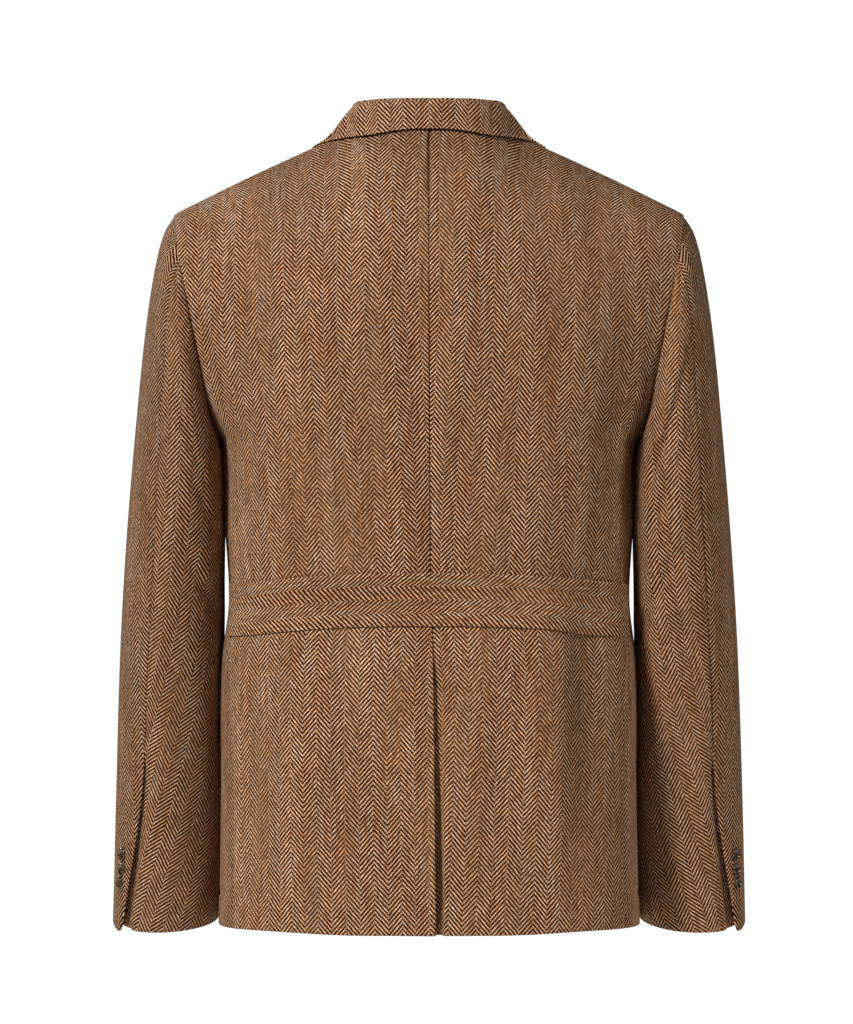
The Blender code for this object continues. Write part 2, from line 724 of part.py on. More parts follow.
def collar_section(share):
    """Points across the collar at a place along it: stand, fold and fall."""
    seam = neck_seam(share)
    fold = np.array([along(COLLAR, "fold_" + axis, share) for axis in "xyz"])
    edge = np.array([along(COLLAR, "edge_" + axis, share) for axis in "xyz"])
    out = edge - fold
    out[2] = 0.0
    out /= np.linalg.norm(out)
    up = np.array((0.0, 0.0, 1.0))
    foot = seam - out * CLOTH + up * STAND_GAP
    foot[0] -= STAND_INSET * ease(*STAND_INSET_FADE, share)
    points = []
    near = fold - out * FOLD_RADIUS - up * FOLD_RADIUS
    for t in (0.0, 0.5):
        points.append(foot + (near - foot) * t)
    for turn in np.radians((180.0, 135.0, 90.0, 45.0)):
        points.append(fold - up * FOLD_RADIUS
                      + FOLD_RADIUS * (out * math.cos(turn) + up * math.sin(turn)))
    begin = fold + out * FOLD_RADIUS - up * FOLD_RADIUS
    bow = (begin + edge) / 2 + COLLAR_BOW * (out + up / 2) + up * along(COLLAR, "sag", share)
    for t in np.linspace(0.0, 1.0, len(FALL_LIES)):
        points.append(begin * (1 - t) ** 2 + 2 * bow * t * (1 - t) + edge * t * t)
    return np.array(points)


def make_collar(panels):
    """Collar with its stand inside and its fall lying over the backs, shoulders and fronts."""
    trees = [tree_of(panels["back"].outer), tree_of(panels["front"].outer)]
    stations = np.linspace(0.0, 1.0, COLLAR_STATIONS + 1)
    half = np.array([collar_section(share) for share in stations])
    fall_from = half.shape[1] - len(FALL_LIES)
    for r, c in np.ndindex(half.shape[0], len(FALL_LIES)):
        ridge = trough((stations[r] - RIDGE_PLACE) / RIDGE_SPREAD)
        need = CLOTH + COLLAR_GAP + SHOULDER_RIDGE * ridge
        point = half[r, fall_from + c]
        laid = laid_on(point, trees, need)
        point += (laid - point) * FALL_LIES[c]
        half[r, fall_from + c] = clear_of(point, trees, need)
    mirror = np.array((-1.0, 1.0, 1.0))
    outer = np.concatenate((half[:0:-1] * mirror, half), axis=0)
    middle = outer.copy()
    middle[:] = np.mean(outer[:, (0, -1)], axis=1, keepdims=True)
    normals = grid_normals(outer, middle)
    cloth("collar", outer, outer - normals * CLOTH)


def make_pocket(is_left):
    """Patch pocket laid on a front, made from the front's points, with round lower corners."""
    angles = np.linspace(POCKET_ANGLES[0], POCKET_ANGLES[1], POCKET_COLUMNS + 1)
    heights = np.linspace(POCKET_HEIGHTS[0], POCKET_HEIGHTS[1], POCKET_ROWS + 1)
    grid = np.zeros((POCKET_ROWS + 1, POCKET_COLUMNS + 1, 3))
    for r, height in enumerate(heights):
        for c, angle in enumerate(angles):
            side = min(c, POCKET_COLUMNS - c) / 2.0
            lift = POCKET_CORNER * max(0.0, 1.0 - side) ** 2 * max(0.0, 1.0 - r / 2.0)
            level = level_of(height + lift)
            grid[r, c] = front_row(level, [angle / (180.0 - side_seam(level))])[0]
    if is_left:
        near = 1.0 - ease(*LAP_FADE, grid[..., 0])
        grid[..., 1] -= LAP[0].out * near
    normals = grid_normals(grid, body_axis(grid))
    cloth("patch_pocket_" + ("left" if is_left else "right"),
          grid + normals * (LAY_GAP + CLOTH), grid + normals * LAY_GAP, not is_left)


def make_button(name, centre, normal, diameter, mirrored=False):
    """Turned horn button with a raised rim round a shallow dish, closed at its back."""
    radius = diameter / 2
    profile = ((0.0, 1.75), (0.55, 1.8), (0.74, 2.5), (0.9, 2.5), (1.0, 1.6), (0.9, 0.4), (0.0, 0.0))
    normal = normal / np.linalg.norm(normal)
    first = np.cross(normal, (0.0, 0.0, 1.0))
    first /= np.linalg.norm(first)
    second = np.cross(normal, first)
    points, faces = [], []
    for share, height in profile[1:-1]:
        for turn in np.linspace(0.0, 2 * math.pi, BUTTON_SIDES, endpoint=False):
            spoke = first * math.cos(turn) + second * math.sin(turn)
            points.append(centre + spoke * radius * share + normal * height)
    rings = len(profile) - 2
    for ring in range(rings - 1):
        for k in range(BUTTON_SIDES):
            a, b = ring * BUTTON_SIDES + k, ring * BUTTON_SIDES + (k + 1) % BUTTON_SIDES
            faces.append((a, a + BUTTON_SIDES, b + BUTTON_SIDES, b))
    for ring, (_, height) in ((0, profile[0]), (rings - 1, profile[-1])):
        points.append(centre + normal * height)
        hub = len(points) - 1
        for k in range(BUTTON_SIDES):
            a, b = ring * BUTTON_SIDES + k, ring * BUTTON_SIDES + (k + 1) % BUTTON_SIDES
            faces.append((hub, a, b) if ring == 0 else (hub, b, a))
    make_object(name, points, faces, HORN, mirrored)


def make_cuff_buttons(is_left, panels):
    """Three buttons beside the cuff's vent, leaning outwards on the top sleeve."""
    tree = tree_of(panels["top"].outer)
    side = "left" if is_left else "right"
    for number, (height, angle) in enumerate(zip(CUFF_BUTTON_HEIGHTS, CUFF_BUTTON_ANGLES), 1):
        down = sleeve_down_at(height)
        place = sleeve_ring(down, [angle])[0]
        axis = np.mean(sleeve_ring(down, np.arange(0.0, 360.0, 30.0)), axis=0)
        spot, normal, _, _ = tree.find_nearest(Vector(place))
        if normal.dot(spot - Vector(axis)) < 0:
            normal = -normal
        leaning = np.array(normal) + np.array((CUFF_BUTTON_LEAN, 0.0, 0.0))
        make_button(f"cuff_button_{side}_{number}", np.array(spot + normal * LAY_GAP),
                    leaning, CUFF_BUTTON, not is_left)


def make_front_buttons(front):
    """Two buttons on the buttoning line of the left front."""
    tree = tree_of(front.outer)
    for number, height in enumerate(FRONT_BUTTON_HEIGHTS, 1):
        spot, normal, _, _ = tree.ray_cast(Vector((0.0, AHEAD, height)), Vector((0.0, 1.0, 0.0)))
        if normal.y > 0:
            normal = -normal
        make_button(f"front_button_{number}", np.array(spot + normal * LAY_GAP),
                    np.array(normal), FRONT_BUTTON)


def main():
    """Make every piece of the coat."""
    left, right = make_side(True), make_side(False)
    make_half_belt(left["back"])
    make_collar(left)
    for is_left, panels in ((True, left), (False, right)):
        make_lapel(is_left, panels["front"])
        make_pocket(is_left)
        make_cuff_buttons(is_left, panels)
    make_front_buttons(left["front"])


main()
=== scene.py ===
"""Herringbone sport coat: its cloth, weave, stitching and buttons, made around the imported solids.

The coat faces -Y, its back is towards +Y and its left side is +X. Lengths in the tables are in
millimetres and heights are measured from just under the hem; meshes are in metres. Every piece
of the right side is worked out as a left one and mirrored.
"""
import math
from collections import namedtuple
from functools import lru_cache

import bmesh
import bpy
import numpy as np
from bpy.props import FloatProperty, PointerProperty, StringProperty
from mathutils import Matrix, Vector
from mathutils.bvhtree import BVHTree


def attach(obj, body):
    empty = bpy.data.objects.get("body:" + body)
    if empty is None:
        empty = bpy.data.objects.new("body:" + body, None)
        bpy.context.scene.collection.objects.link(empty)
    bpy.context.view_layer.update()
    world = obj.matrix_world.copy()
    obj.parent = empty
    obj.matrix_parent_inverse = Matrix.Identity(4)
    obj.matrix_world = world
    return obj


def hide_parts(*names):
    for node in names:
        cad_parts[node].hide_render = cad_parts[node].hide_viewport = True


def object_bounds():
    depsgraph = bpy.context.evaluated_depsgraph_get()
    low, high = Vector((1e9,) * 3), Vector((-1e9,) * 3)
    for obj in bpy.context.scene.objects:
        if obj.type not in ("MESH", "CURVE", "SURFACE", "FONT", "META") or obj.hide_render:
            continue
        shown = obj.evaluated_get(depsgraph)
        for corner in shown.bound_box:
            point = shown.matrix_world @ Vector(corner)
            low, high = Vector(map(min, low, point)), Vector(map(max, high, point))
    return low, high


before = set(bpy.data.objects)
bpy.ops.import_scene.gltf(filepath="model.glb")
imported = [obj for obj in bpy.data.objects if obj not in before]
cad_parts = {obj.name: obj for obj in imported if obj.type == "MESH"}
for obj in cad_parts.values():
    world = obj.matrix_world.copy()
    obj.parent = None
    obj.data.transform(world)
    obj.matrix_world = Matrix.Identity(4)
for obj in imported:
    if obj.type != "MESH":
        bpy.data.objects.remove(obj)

bl_info = {
    "name": "Herringbone Sport Coat",
    "version": (1, 0, 0),
    "blender": (4, 5, 0),
    "location": "3D View > Sidebar > Coat",
    "description": "Dresses the sport coat's solids with tweed, stitching and horn buttons",
    "category": "Object",
}

CAD_BOX = [list(corner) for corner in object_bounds()]
MM = 0.001
SHOULDER_LINE = 700.0
MIRROR = np.array((-1.0, 1.0, 1.0))
BUTTONS = [node for node in sorted(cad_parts) if "button" in node]

# Rays at the fronts set out from here, and go this way
FAR_AHEAD = -400.0
BACKWARDS = Vector((0.0, 1.0, 0.0))

# Heights
HEM = 4.0
VENT_TOP = 213.0
VENT_STEP = 9.0
ARMPIT = 437.0
BREAK_POINT = 330.0
GORGE = 645.0
GORGE_LEVEL = 1.783
NECK_POINT = 705.0
CHEST_HEIGHT = 580.0

# Neck and armhole
NECK_X = 82.0
NECK_Y = 14.0
NECK_ROUND = 1.15
SHOULDER_TIP = np.array((227.0, -2.0, 635.0))
ARMPIT_POINT = np.array((189.0, -8.0, ARMPIT))
SHOULDER_LIFT = 2.8
HEM_LIFT = 2.2
ARMHOLE_BACK = 66.0
ARMHOLE_FRONT = 72.0
ARMHOLE_SWELL_BACK = 1.6
ARMHOLE_SWELL_FRONT = -9.0

# Fronts and their lapels
FRONT_LAP = 20.0
ROLL_SLOPE = 0.225
NECK_FLARE = NECK_X + FRONT_LAP - ROLL_SLOPE * (NECK_POINT - BREAK_POINT)
NECK_FLARE_START = 630.0
LAP_FADE = (45.0, 130.0)
CUTAWAY_WIDTH = 45.0
CUTAWAY_HEIGHT = 126.0
LAPEL_TIP_X = 138.0
LAPEL_RISE = 312.0
LAPEL_BELLY = 0.82
LAPEL_GAP = 1.5
LAPEL_ROLL = 1.6
LAPEL_STAND = 2.2
LAPEL_FULLNESS = 1.4
NOTCH_AT = 0.4
NOTCH_RISE = 8.5
GORGE_RISE = 3.5
NOTCH_FADE = 6

# Back vent and half belt
UNDERLAP = 36.0
VENT_DIP = 5.6
VENT_DIP_AT_HEM = 7.4
VENT_DIP_FADE = ((7.6, 18.0), (9.2, 13.4))
VENT_SPRING = 3.4
VENT_SPRING_FADE = (-6.0, 34.0)
DIP_END = 255.0
SEAM_ALLOWANCE = 9.0
ALLOWANCE_STEP = 2.6
ALLOWANCE_LIFT = 0.75
CENTRE_SEAM = 1.2
CENTRE_SEAM_SPREAD = 2.8
UPRIGHT_FROM = 560.0
UPRIGHT_FADE = 60.0
STEEPEST = 1.12
DRIFT_FADE = 60.0
BELT_TOP = 319.0
BELT_BOTTOM = 272.0
BELT_END_DROP = 10.0
BELT_STAND = 2.1
BELT_FULLNESS = 0.9
BELT_RIB_SHIFT = 0.3

# Patch pockets: angles round the front from its inner edge, and heights
POCKET_ANGLES = (26.0, 76.0)
POCKET_HEIGHTS = (42.0, 237.0)
POCKET_CORNER = 22.0
POCKET_STAND = 2.3
POCKET_FULLNESS = 0.9
POCKET_MOUTH = 1.6
POCKET_RIB_SHIFT = 6.0

# Sleeves and collar
VENT_TONGUE = 3.5
TONGUE_ROUND = 9.0
CUFF_VENT = (0.77, 0.80)
CUFF_UNDERLAP = 15.0
CUFF_FLAP, CUFF_FLAP_SPREAD = 2.8, 16.0
UNDERLAP_DROP = (4.0, 2.0)
UNDERLAP_FLAT, UNDERLAP_SPREAD = 13.0, 7.0
SLEEVE_LAP = 1.3
SLEEVE_LAP_TURN = 3.0
SLEEVE_LAP_DROP, SLEEVE_LAP_SPREAD = 1.8, 1.6
SLEEVE_SEAM, SLEEVE_SEAM_SPREAD = 0.9, 3.0
ARMHOLE_LAP = 1.0
GRAIN_TURN = (340.0, 190.0)
GRAIN_LEAN = 0.2
STAND_INSET = 4.0
STAND_GAP = 0.9
FOLD_RADIUS = 3.2
FALL_CLEAR = 2.4
FALL_CLEAR_BEHIND = 1.6
FALL_PRESSED = 0.9

# Seams of the backs and fronts: how deep they are drawn in, how far that spreads, and how thin
# the cloth is pressed there
PANEL_SEAMS = (("last_column", 0.7), ("last_row", 0.5))
SEAM_SPREAD = 3.2
SEAM_THIN = 0.5
SEAM_THIN_REACH = 6.0
HEM_EDGE = 34.0

# Height of the slow waves in the cloth
BACK_WAVES, FRONT_WAVES, SLEEVE_WAVES = 0.28, 0.3, 0.35


def table_of(columns, *rows):
    """Rows of a table with named columns."""
    named = namedtuple("Row", columns)
    return tuple(named(*row) for row in rows)


# Sections of the body: level 0 is the hem, 1 the armpit, 2 the shoulder seam
BODY = table_of(
    "level height back_y edge_x edge_y flat round neck drop seam",
    (0.000, 4, 126, 187.0, -2, 0.74, 0.80, 0.00, 0.00, 64),
    (0.268, 120, 127, 184.6, -3, 0.74, 0.80, 0.00, 0.00, 66),
    (0.540, 238, 120, 184.2, -4, 0.74, 0.80, 0.00, 0.00, 71),
    (0.670, 294, 108, 178.4, -5, 0.74, 0.80, 0.00, 0.00, 77),
    (0.836, 366, 115, 182.6, -6, 0.76, 0.82, 0.00, 0.00, 84),
    (1.000, 437, 125, 189.0, -8, 0.80, 0.90, 0.00, 0.00, 90),
    (1.250, 511, 131, None, None, 0.86, 1.35, 0.00, 0.05, 90),
    (1.500, 583, 128, None, None, 0.92, 1.80, 0.06, 0.12, 90),
    (1.750, 653, 104, None, None, 0.98, 2.20, 0.28, 0.20, 90),
    (2.000, 716, 62, None, None, 1.00, 2.40, 1.00, 0.264, 90),
)

# Sections of the fronts, at the same levels
FRONT = table_of(
    "level height inner_y flat round",
    (0.000, 4, -124, 0.74, 0.80),
    (0.540, 238, -125, 0.74, 0.80),
    (0.753, 330, -129, 0.74, 0.80),
    (1.000, 437, -134, 0.80, 0.90),
    (1.250, 501, -129, 0.86, 1.20),
    (1.500, 568, -114, 0.92, 1.35),
    (1.750, 636, -80, 0.98, 1.40),
    (2.000, 705, 14, 1.00, 1.50),
)

# How far the left front stands out over the right, and how far the centre back seam drifts
LAP = table_of("height out", (0, 4.2), (290, 4.4), (350, 7.6), (440, 7.6), (530, 0.0), (720, 0.0))
DRIFT = table_of("height x", (0, -6.0), (250, -3.5), (330, -1.2), (560, 0.0), (720, 0.0))

# Soft folds of the backs and of both sleeves
BACK_FOLDS = table_of(
    "is_left x height half_width half_height depth",
    (False, 139, 160, 18, 130, 3.0),
    (False, 96, 130, 20, 110, -1.6),
    (True, 150, 150, 20, 120, 2.4),
    (True, 168, 430, 16, 90, 2.6),
    (False, 170, 420, 15, 100, 3.0),
)
SLEEVE_FOLDS = table_of(
    "angle down half_angle half_down depth",
    (84, 0.20, 26, 0.055, 3.2),
    (112, 0.47, 34, 0.050, 3.0),
    (95, 0.62, 26, 0.050, 1.8),
    (-60, 0.52, 34, 0.055, 2.6),
)

# Sections of the left sleeve from the armhole, 0, to the cuff, 1: its outer and inner side, its
# middle and half its depth, and the angles of its seams
SLEEVE = table_of(
    "down outer_x outer_z inner_x inner_z middle_y depth tilt back_seam front_seam",
    (0.00, 227.0, 635, 189.0, 437, -5, 69, 0, 54, -126),
    (0.03, 235.5, 621, 190.0, 425, -6, 75, 0, 56, -126),
    (0.09, 243.0, 594, 190.3, 404, -7, 79, -1, 59, -126),
    (0.20, 251.5, 543, 188.2, 372, -9, 80, -2, 63, -126),
    (0.34, 259.5, 470, 185.6, 330, -11, 77, -3, 65, -127),
    (0.52, 269.0, 360, 182.8, 262, -14, 68, -5, 65, -128),
    (0.68, 276.0, 250, 184.0, 190, -22, 58, -7, 64, -130),
    (0.84, 280.6, 128, 184.4, 105, -36, 50, -9, 61, -132),
    (1.00, 284.0, 5.5, 190.6, 8.5, -50, 45, -10, 42, -134),
)

# How far the sleeve is filled out towards the body, under the arm and above the cuff
SLEEVE_FULLNESS = table_of(
    "depth angle half_angle height half_height",
    (9.5, 146, 44, 400, 80),
    (2.0, 176, 70, 45, 75),
)

# Fold and outer edge of the collar, from the middle of the back, 0, to its front end, 1
COLLAR = table_of(
    "along fold_x fold_y fold_z edge_x edge_y edge_z sag",
    (0.00, 0, 64, 736.0, 0, 74, 710.0, 0),
    (0.25, 39, 50, 736.5, 57, 60, 708.0, 0),
    (0.38, 54, 35, 736.0, 79, 38, 708.0, 0),
    (0.50, 65.5, 20, 735.0, 101.5, 15, 699.0, 0),
    (0.70, 66, -18, 714.0, 101.5, -13, 689.0, 0),
    (0.86, 60, -52, 684.0, 105, -29, 681.0, -5),
    (1.00, 54, -80, 654.0, 106, -42, 675.0, -18),
)

# Painted shade: how much darker the cloth's colour is drawn in the hollows of its creases, along
# the shoulder seams and on the sleeves' inner sides next to the body, where shade falls. Each
# sleeve and the left side also get painted shade for how the light falls on them, the right under
# sleeve a touch of painted light instead.
HOLLOW_PAINTED_SHADE = 0.034
SHOULDER_PAINTED_SHADE = 0.24
SLEEVE_PAINTED_SHADES = {"top_sleeve_left": 0.21, "under_sleeve_left": 0.1,
                "top_sleeve_right": 0.1, "under_sleeve_right": -0.02}
SIDE_PAINTED_SHADE = 0.13
INNER_SIDE_PAINTED_SHADE = 0.22

# Rows and columns of the cloth grids
ROWS_BELOW = 92
ROWS_ABOVE = 62
BODY_COLUMNS = 58
UNDER_COLUMNS = 8
UNDER_SHARE = 0.002
SLEEVE_ROWS = 112
SLEEVE_COLUMNS = 40
COLLAR_STATIONS = 54
STAND_STEPS = 8
FOLD_STEPS = 8
FALL_STEPS = 16
LAPEL_ROWS, LAPEL_COLUMNS = 70, 26
POCKET_ROWS, POCKET_COLUMNS = 44, 40
BELT_ROWS, BELT_COLUMNS = 14, 120
BELT_END = 0.985
RIM_TURNS = (35.0, 90.0, 145.0)

# Creases pressed into the cloth. A crease runs from one place to another, "width" is
# how far it spreads each way, "depth" how deep its trough is and "ridge" how high the cloth
# rises beside it. Places on the body are x and height, on a sleeve the angle and the place down.
CREASE_COLUMNS = "a0 b0 a1 b1 width depth ridge"
CREASES = {
    "back_left": table_of(
        CREASE_COLUMNS,
        (196, 470, 176, 380, 9, 2.4, 0.5), (186, 455, 150, 350, 14, 1.6, 0.6),
        (205, 560, 190, 470, 8, 1.8, 0.3), (60, 262, 130, 240, 16, 0.9, 0.4),
        (146, 250, 160, 40, 18, 1.6, 0.8), (70, 240, 58, 30, 22, 1.0, 0.6),
        (90, 660, 170, 610, 20, 1.0, 0.3)),
    "back_right": table_of(
        CREASE_COLUMNS,
        (197, 475, 178, 372, 9, 2.8, 0.5), (188, 450, 146, 345, 15, 1.8, 0.6),
        (205, 566, 192, 480, 8, 1.8, 0.3), (142, 330, 137, 70, 19, 8.2, 1.6),
        (84, 250, 76, 40, 20, 1.2, 0.8), (40, 236, 46, 60, 16, 0.8, 0.5),
        (80, 664, 160, 618, 20, 1.0, 0.3)),
    "front_left": table_of(
        CREASE_COLUMNS,
        (150, 430, 90, 345, 16, 2.2, 0.8), (170, 370, 70, 312, 16, 1.8, 0.8),
        (60, 290, 150, 250, 18, 1.2, 0.6), (185, 520, 165, 440, 12, 2.2, 0.4)),
    "front_right": table_of(
        CREASE_COLUMNS,
        (155, 440, 95, 350, 17, 2.0, 0.7), (165, 360, 75, 318, 15, 2.0, 0.9),
        (60, 282, 145, 240, 18, 1.2, 0.6), (187, 515, 168, 445, 12, 2.0, 0.4)),
}
SLEEVE_CREASES = {
    "left": table_of(
        CREASE_COLUMNS,
        (70, 0.14, 120, 0.26, 11, 2.6, 1.0), (60, 0.24, 150, 0.33, 13, 2.0, 0.9),
        (80, 0.42, 160, 0.50, 12, 2.4, 1.0), (76, 0.56, 130, 0.50, 12, 1.8, 0.8),
        (92, 0.60, 118, 0.82, 15, 1.6, 0.9), (-110, 0.50, -30, 0.46, 12, 2.4, 1.0),
        (-120, 0.58, -50, 0.60, 12, 2.0, 0.8), (20, 0.30, 30, 0.72, 18, 0.9, 0.5)),
    "right": table_of(
        CREASE_COLUMNS,
        (74, 0.13, 126, 0.24, 11, 2.4, 1.0), (66, 0.27, 140, 0.37, 13, 2.2, 0.9),
        (84, 0.45, 165, 0.52, 12, 2.2, 1.0), (80, 0.60, 126, 0.55, 12, 2.0, 0.9),
        (90, 0.64, 112, 0.88, 15, 1.6, 0.8), (-112, 0.48, -36, 0.45, 12, 2.2, 1.0),
        (-118, 0.57, -48, 0.62, 12, 2.2, 0.8), (18, 0.34, 28, 0.70, 18, 0.9, 0.5)),
}
SLEEVE_RADIUS = 60.0
SLEEVE_LENGTH = 640.0


def ease(start, end, value):
    """Smooth step from 0 at start to 1 at end."""
    t = np.clip((value - start) / (end - start), 0.0, 1.0)
    return t * t * (3.0 - 2.0 * t)


def along(table, column, at):
    """Smooth curve through one column of a table, whose first column is the place."""
    rows = [row for row in table if getattr(row, column) is not None]
    places = [row[0] for row in rows]
    values = [getattr(row, column) for row in rows]
    last = len(rows) - 1
    i = min(max(sum(1 for place in places if place <= at) - 1, 0), last - 1)

    def slope(k):
        a, b = max(k - 1, 0), min(k + 1, last)
        return (values[b] - values[a]) / (places[b] - places[a])

    span = places[i + 1] - places[i]
    t = min(max((at - places[i]) / span, 0.0), 1.0)
    return (values[i] * (1 + 2 * t) * (1 - t) ** 2 + values[i + 1] * t * t * (3 - 2 * t)
            + span * (slope(i) * t * (1 - t) ** 2 + slope(i + 1) * t * t * (t - 1)))


def trough(offset):
    """Soft hollow, 1 at its middle and 0 from twice its half spread on."""
    return np.cos(np.clip(np.asarray(offset) / 2.0, -1.0, 1.0) * np.pi / 2) ** 2


def level_of(height):
    """Level of a height below the armpit."""
    return (height - HEM) / (ARMPIT - HEM)


def armhole(angle):
    """Point of the left armhole: 0 is the shoulder tip, 90 the back, 180 the armpit."""
    a = math.radians(angle)
    behind = math.sin(a) >= 0
    middle = (SHOULDER_TIP + ARMPIT_POINT) / 2
    half = (SHOULDER_TIP - ARMPIT_POINT) / 2
    point = middle + half * math.cos(a)
    point[0] += (ARMHOLE_SWELL_BACK if behind else ARMHOLE_SWELL_FRONT) * abs(math.sin(a))
    point[1] += (ARMHOLE_BACK if behind else ARMHOLE_FRONT) * math.sin(a)
    return point


def body_edge(level, behind):
    """Outermost point of the body at a level: its side, or the armhole above the armpit."""
    if level <= 1.0:
        return np.array([along(BODY, column, level) for column in ("edge_x", "edge_y", "height")])
    angle = 180.0 * (2.0 - level)
    return armhole(angle if behind else -angle)


def side_seam(level):
    """Angle of the side seam from the middle of the back; at the armhole it is the very side."""
    return min(90.0, along(BODY, "seam", level))


def shoulder_drop(share, start):
    """How far a row has fallen from the middle's height to the armhole's, 0 to 1."""
    soft = 0.05

    def bend(p):
        return (np.sqrt((p - start) ** 2 + soft ** 2) + p - start) / 2

    return (bend(share) - bend(0.0)) / (bend(1.0) - bend(0.0))


def settle(points, level):
    """Lift the middle of the shoulders, and the hem towards the sides, as the coat hangs."""
    x = points[..., 0]
    points[..., 2] += SHOULDER_LIFT * ease(1.5, 2.0, level) * trough((x - 182.0) / 66.0)
    points[..., 2] += HEM_LIFT * (1.0 - ease(0.0, 0.25, level)) * ease(60.0, 150.0, x)
    return points


def back_row(level, shares):
    """Points of the left back at a level, from its middle (0) to the side seam or armhole (1)."""
    edge = body_edge(level, True)
    neck = along(BODY, "neck", level)
    angle = np.radians(np.asarray(shares) * side_seam(level))
    share = np.sin(angle) ** along(BODY, "flat", level)
    neck_share = NECK_X / SHOULDER_TIP[0]
    rest = np.clip((share - neck_share) / (1 - neck_share), 0, 1)
    neck_part = (NECK_Y - SHOULDER_TIP[1]) / (BODY[-1].back_y - SHOULDER_TIP[1])
    neck_curve = (neck_part * (1 - rest)
                  + (1 - neck_part) * (1 - np.clip(share / neck_share, 0, 1) ** 2) ** NECK_ROUND)
    cosine = np.clip(np.cos(angle), 0.0, 1.0)
    depth = (1 - neck) * cosine ** along(BODY, "round", level) + neck * neck_curve
    height = along(BODY, "height", level)
    drop = shoulder_drop(share, along(BODY, "drop", level))
    return settle(np.stack((edge[0] * share,
                            edge[1] + (along(BODY, "back_y", level) - edge[1]) * depth,
                            height + (edge[2] - height) * drop), axis=-1), level)


def front_edge_x(height):
    """How far the front's inner edge stands from the middle, towards its own side."""
    x = -FRONT_LAP + ROLL_SLOPE * max(0.0, height - BREAK_POINT)
    x += NECK_FLARE * ease(NECK_FLARE_START, NECK_POINT, height) ** 2
    corner = min(max((HEM + CUTAWAY_HEIGHT - height) / CUTAWAY_HEIGHT, 0.0), 1.0)
    return x + CUTAWAY_WIDTH * (1.0 - math.sqrt(1.0 - corner ** 2))


def front_row(level, shares):
    """Points of the left front at a level, from its inner edge (0) to the side seam or armhole."""
    edge = body_edge(level, False)
    neck = along(BODY, "neck", level)
    flat, power = along(FRONT, "flat", level), along(FRONT, "round", level)
    inner_z, inner_y = along(FRONT, "height", level), along(FRONT, "inner_y", level)
    inner_x = NECK_X if level == 2.0 else front_edge_x(inner_z)
    degrees = np.asarray(shares) * (180.0 - side_seam(level))
    angle = np.radians(degrees)
    sine = np.clip(np.sin(angle), 0.0, 1.0)
    cosine = np.abs(np.cos(angle))
    ahead = degrees <= 90.0
    share = sine ** flat
    x = np.where(ahead, inner_x + (edge[0] - inner_x) * share,
                 edge[0] * sine ** along(BODY, "flat", level))
    depth = np.where(ahead, (1 - neck) * cosine ** power + neck * (1 - share),
                     cosine ** along(BODY, "round", level))
    far_y = np.where(ahead, inner_y, along(BODY, "back_y", level))
    top_z = along(BODY, "height", level)
    seam_z = top_z + (edge[2] - top_z) * shoulder_drop(x / edge[0], along(BODY, "drop", level))
    own_z = inner_z + (edge[2] - inner_z) * np.where(ahead, share, 1.0)
    return settle(np.stack((x, edge[1] + (far_y - edge[1]) * depth,
                            (1 - neck) * own_z + neck * seam_z), axis=-1), level)


def sleeve_ring(down, angles):
    """Points round the left sleeve at a place down its length; 0 degrees is the outer side."""
    angles = np.asarray(angles, dtype=float)
    if down == 0.0:
        return np.array([armhole(angle) for angle in angles])
    row = {column: along(SLEEVE, column, down) for column in SLEEVE[0]._fields[1:8]}
    outer = np.array((row["outer_x"], 0.0, row["outer_z"]))
    inner = np.array((row["inner_x"], 0.0, row["inner_z"]))
    across = np.array((0.0, row["depth"], row["tilt"]))
    middle = (outer + inner) / 2 + np.array((0.0, row["middle_y"], 0.0))
    turn = np.radians(angles)[:, None]
    spokes = (outer - inner) / 2 * np.cos(turn) + across * np.sin(turn)
    for fold in SLEEVE_FOLDS:
        off = (angles[:, None] - fold.angle + 180.0) % 360.0 - 180.0
        share = trough(off / fold.half_angle) * trough((down - fold.down) / fold.half_down)
        spokes *= 1.0 - fold.depth / row["depth"] * share
    return middle + spokes


def crease_depth(creases, a, b):
    """How far the creases move the cloth out (or in, below zero) at places a, b in millimetres."""
    out = np.zeros_like(a)
    for crease in creases:
        start = np.array((crease.a0, crease.b0))
        run = np.array((crease.a1, crease.b1)) - start
        length = np.linalg.norm(run)
        run = run / length
        t = np.clip(((a - start[0]) * run[0] + (b - start[1]) * run[1]) / length, 0.0, 1.0)
        past = np.hypot(a - start[0] - t * length * run[0], b - start[1] - t * length * run[1])
        side = (a - start[0]) * run[1] - (b - start[1]) * run[0]
        fade = np.sin(np.pi * np.clip(t * 0.9 + 0.05, 0.0, 1.0)) ** 0.8
        hollow = np.exp(-(past / crease.width) ** 2)
        beside = np.exp(-((side - 1.9 * crease.width) / (1.2 * crease.width)) ** 2
                        - ((past ** 2 - side ** 2).clip(0.0) / crease.width ** 2))
        out += fade * (crease.ridge * beside - crease.depth * hollow)
    return out


def unevenness(a, b, seed):
    """Slow, shallow waves that keep hung cloth from lying perfectly smooth."""
    waves = np.sin(a / 31.0 + seed) * np.sin(b / 57.0 + 1.7 * seed)
    waves += 0.6 * np.sin(a / 17.0 - b / 83.0 + 2.3 * seed)
    return waves


def grid_normals(grid, inside):
    """Unit normals of a grid of points, pointing away from the points in inside."""
    normals = np.cross(np.gradient(grid, axis=0), np.gradient(grid, axis=1))
    normals /= np.maximum(np.linalg.norm(normals, axis=-1, keepdims=True), 1e-9)
    if np.sum(normals * (grid - inside)) < 0:
        normals = -normals
    return normals


def summed(steps, axis):
    """Running sums of steps along an axis, from 0."""
    zero = np.zeros_like(np.take(steps, [0], axis=axis))
    return np.concatenate((zero, np.cumsum(steps, axis=axis)), axis=axis)


def edge_distance(grid, edge):
    """Distance of every grid point from one edge, along the cloth."""
    axis = 1 if edge.endswith("column") else 0
    steps = np.linalg.norm(np.diff(grid, axis=axis), axis=-1)
    if edge.startswith("last"):
        return np.flip(summed(np.flip(steps, axis=axis), axis), axis=axis)
    return summed(steps, axis)


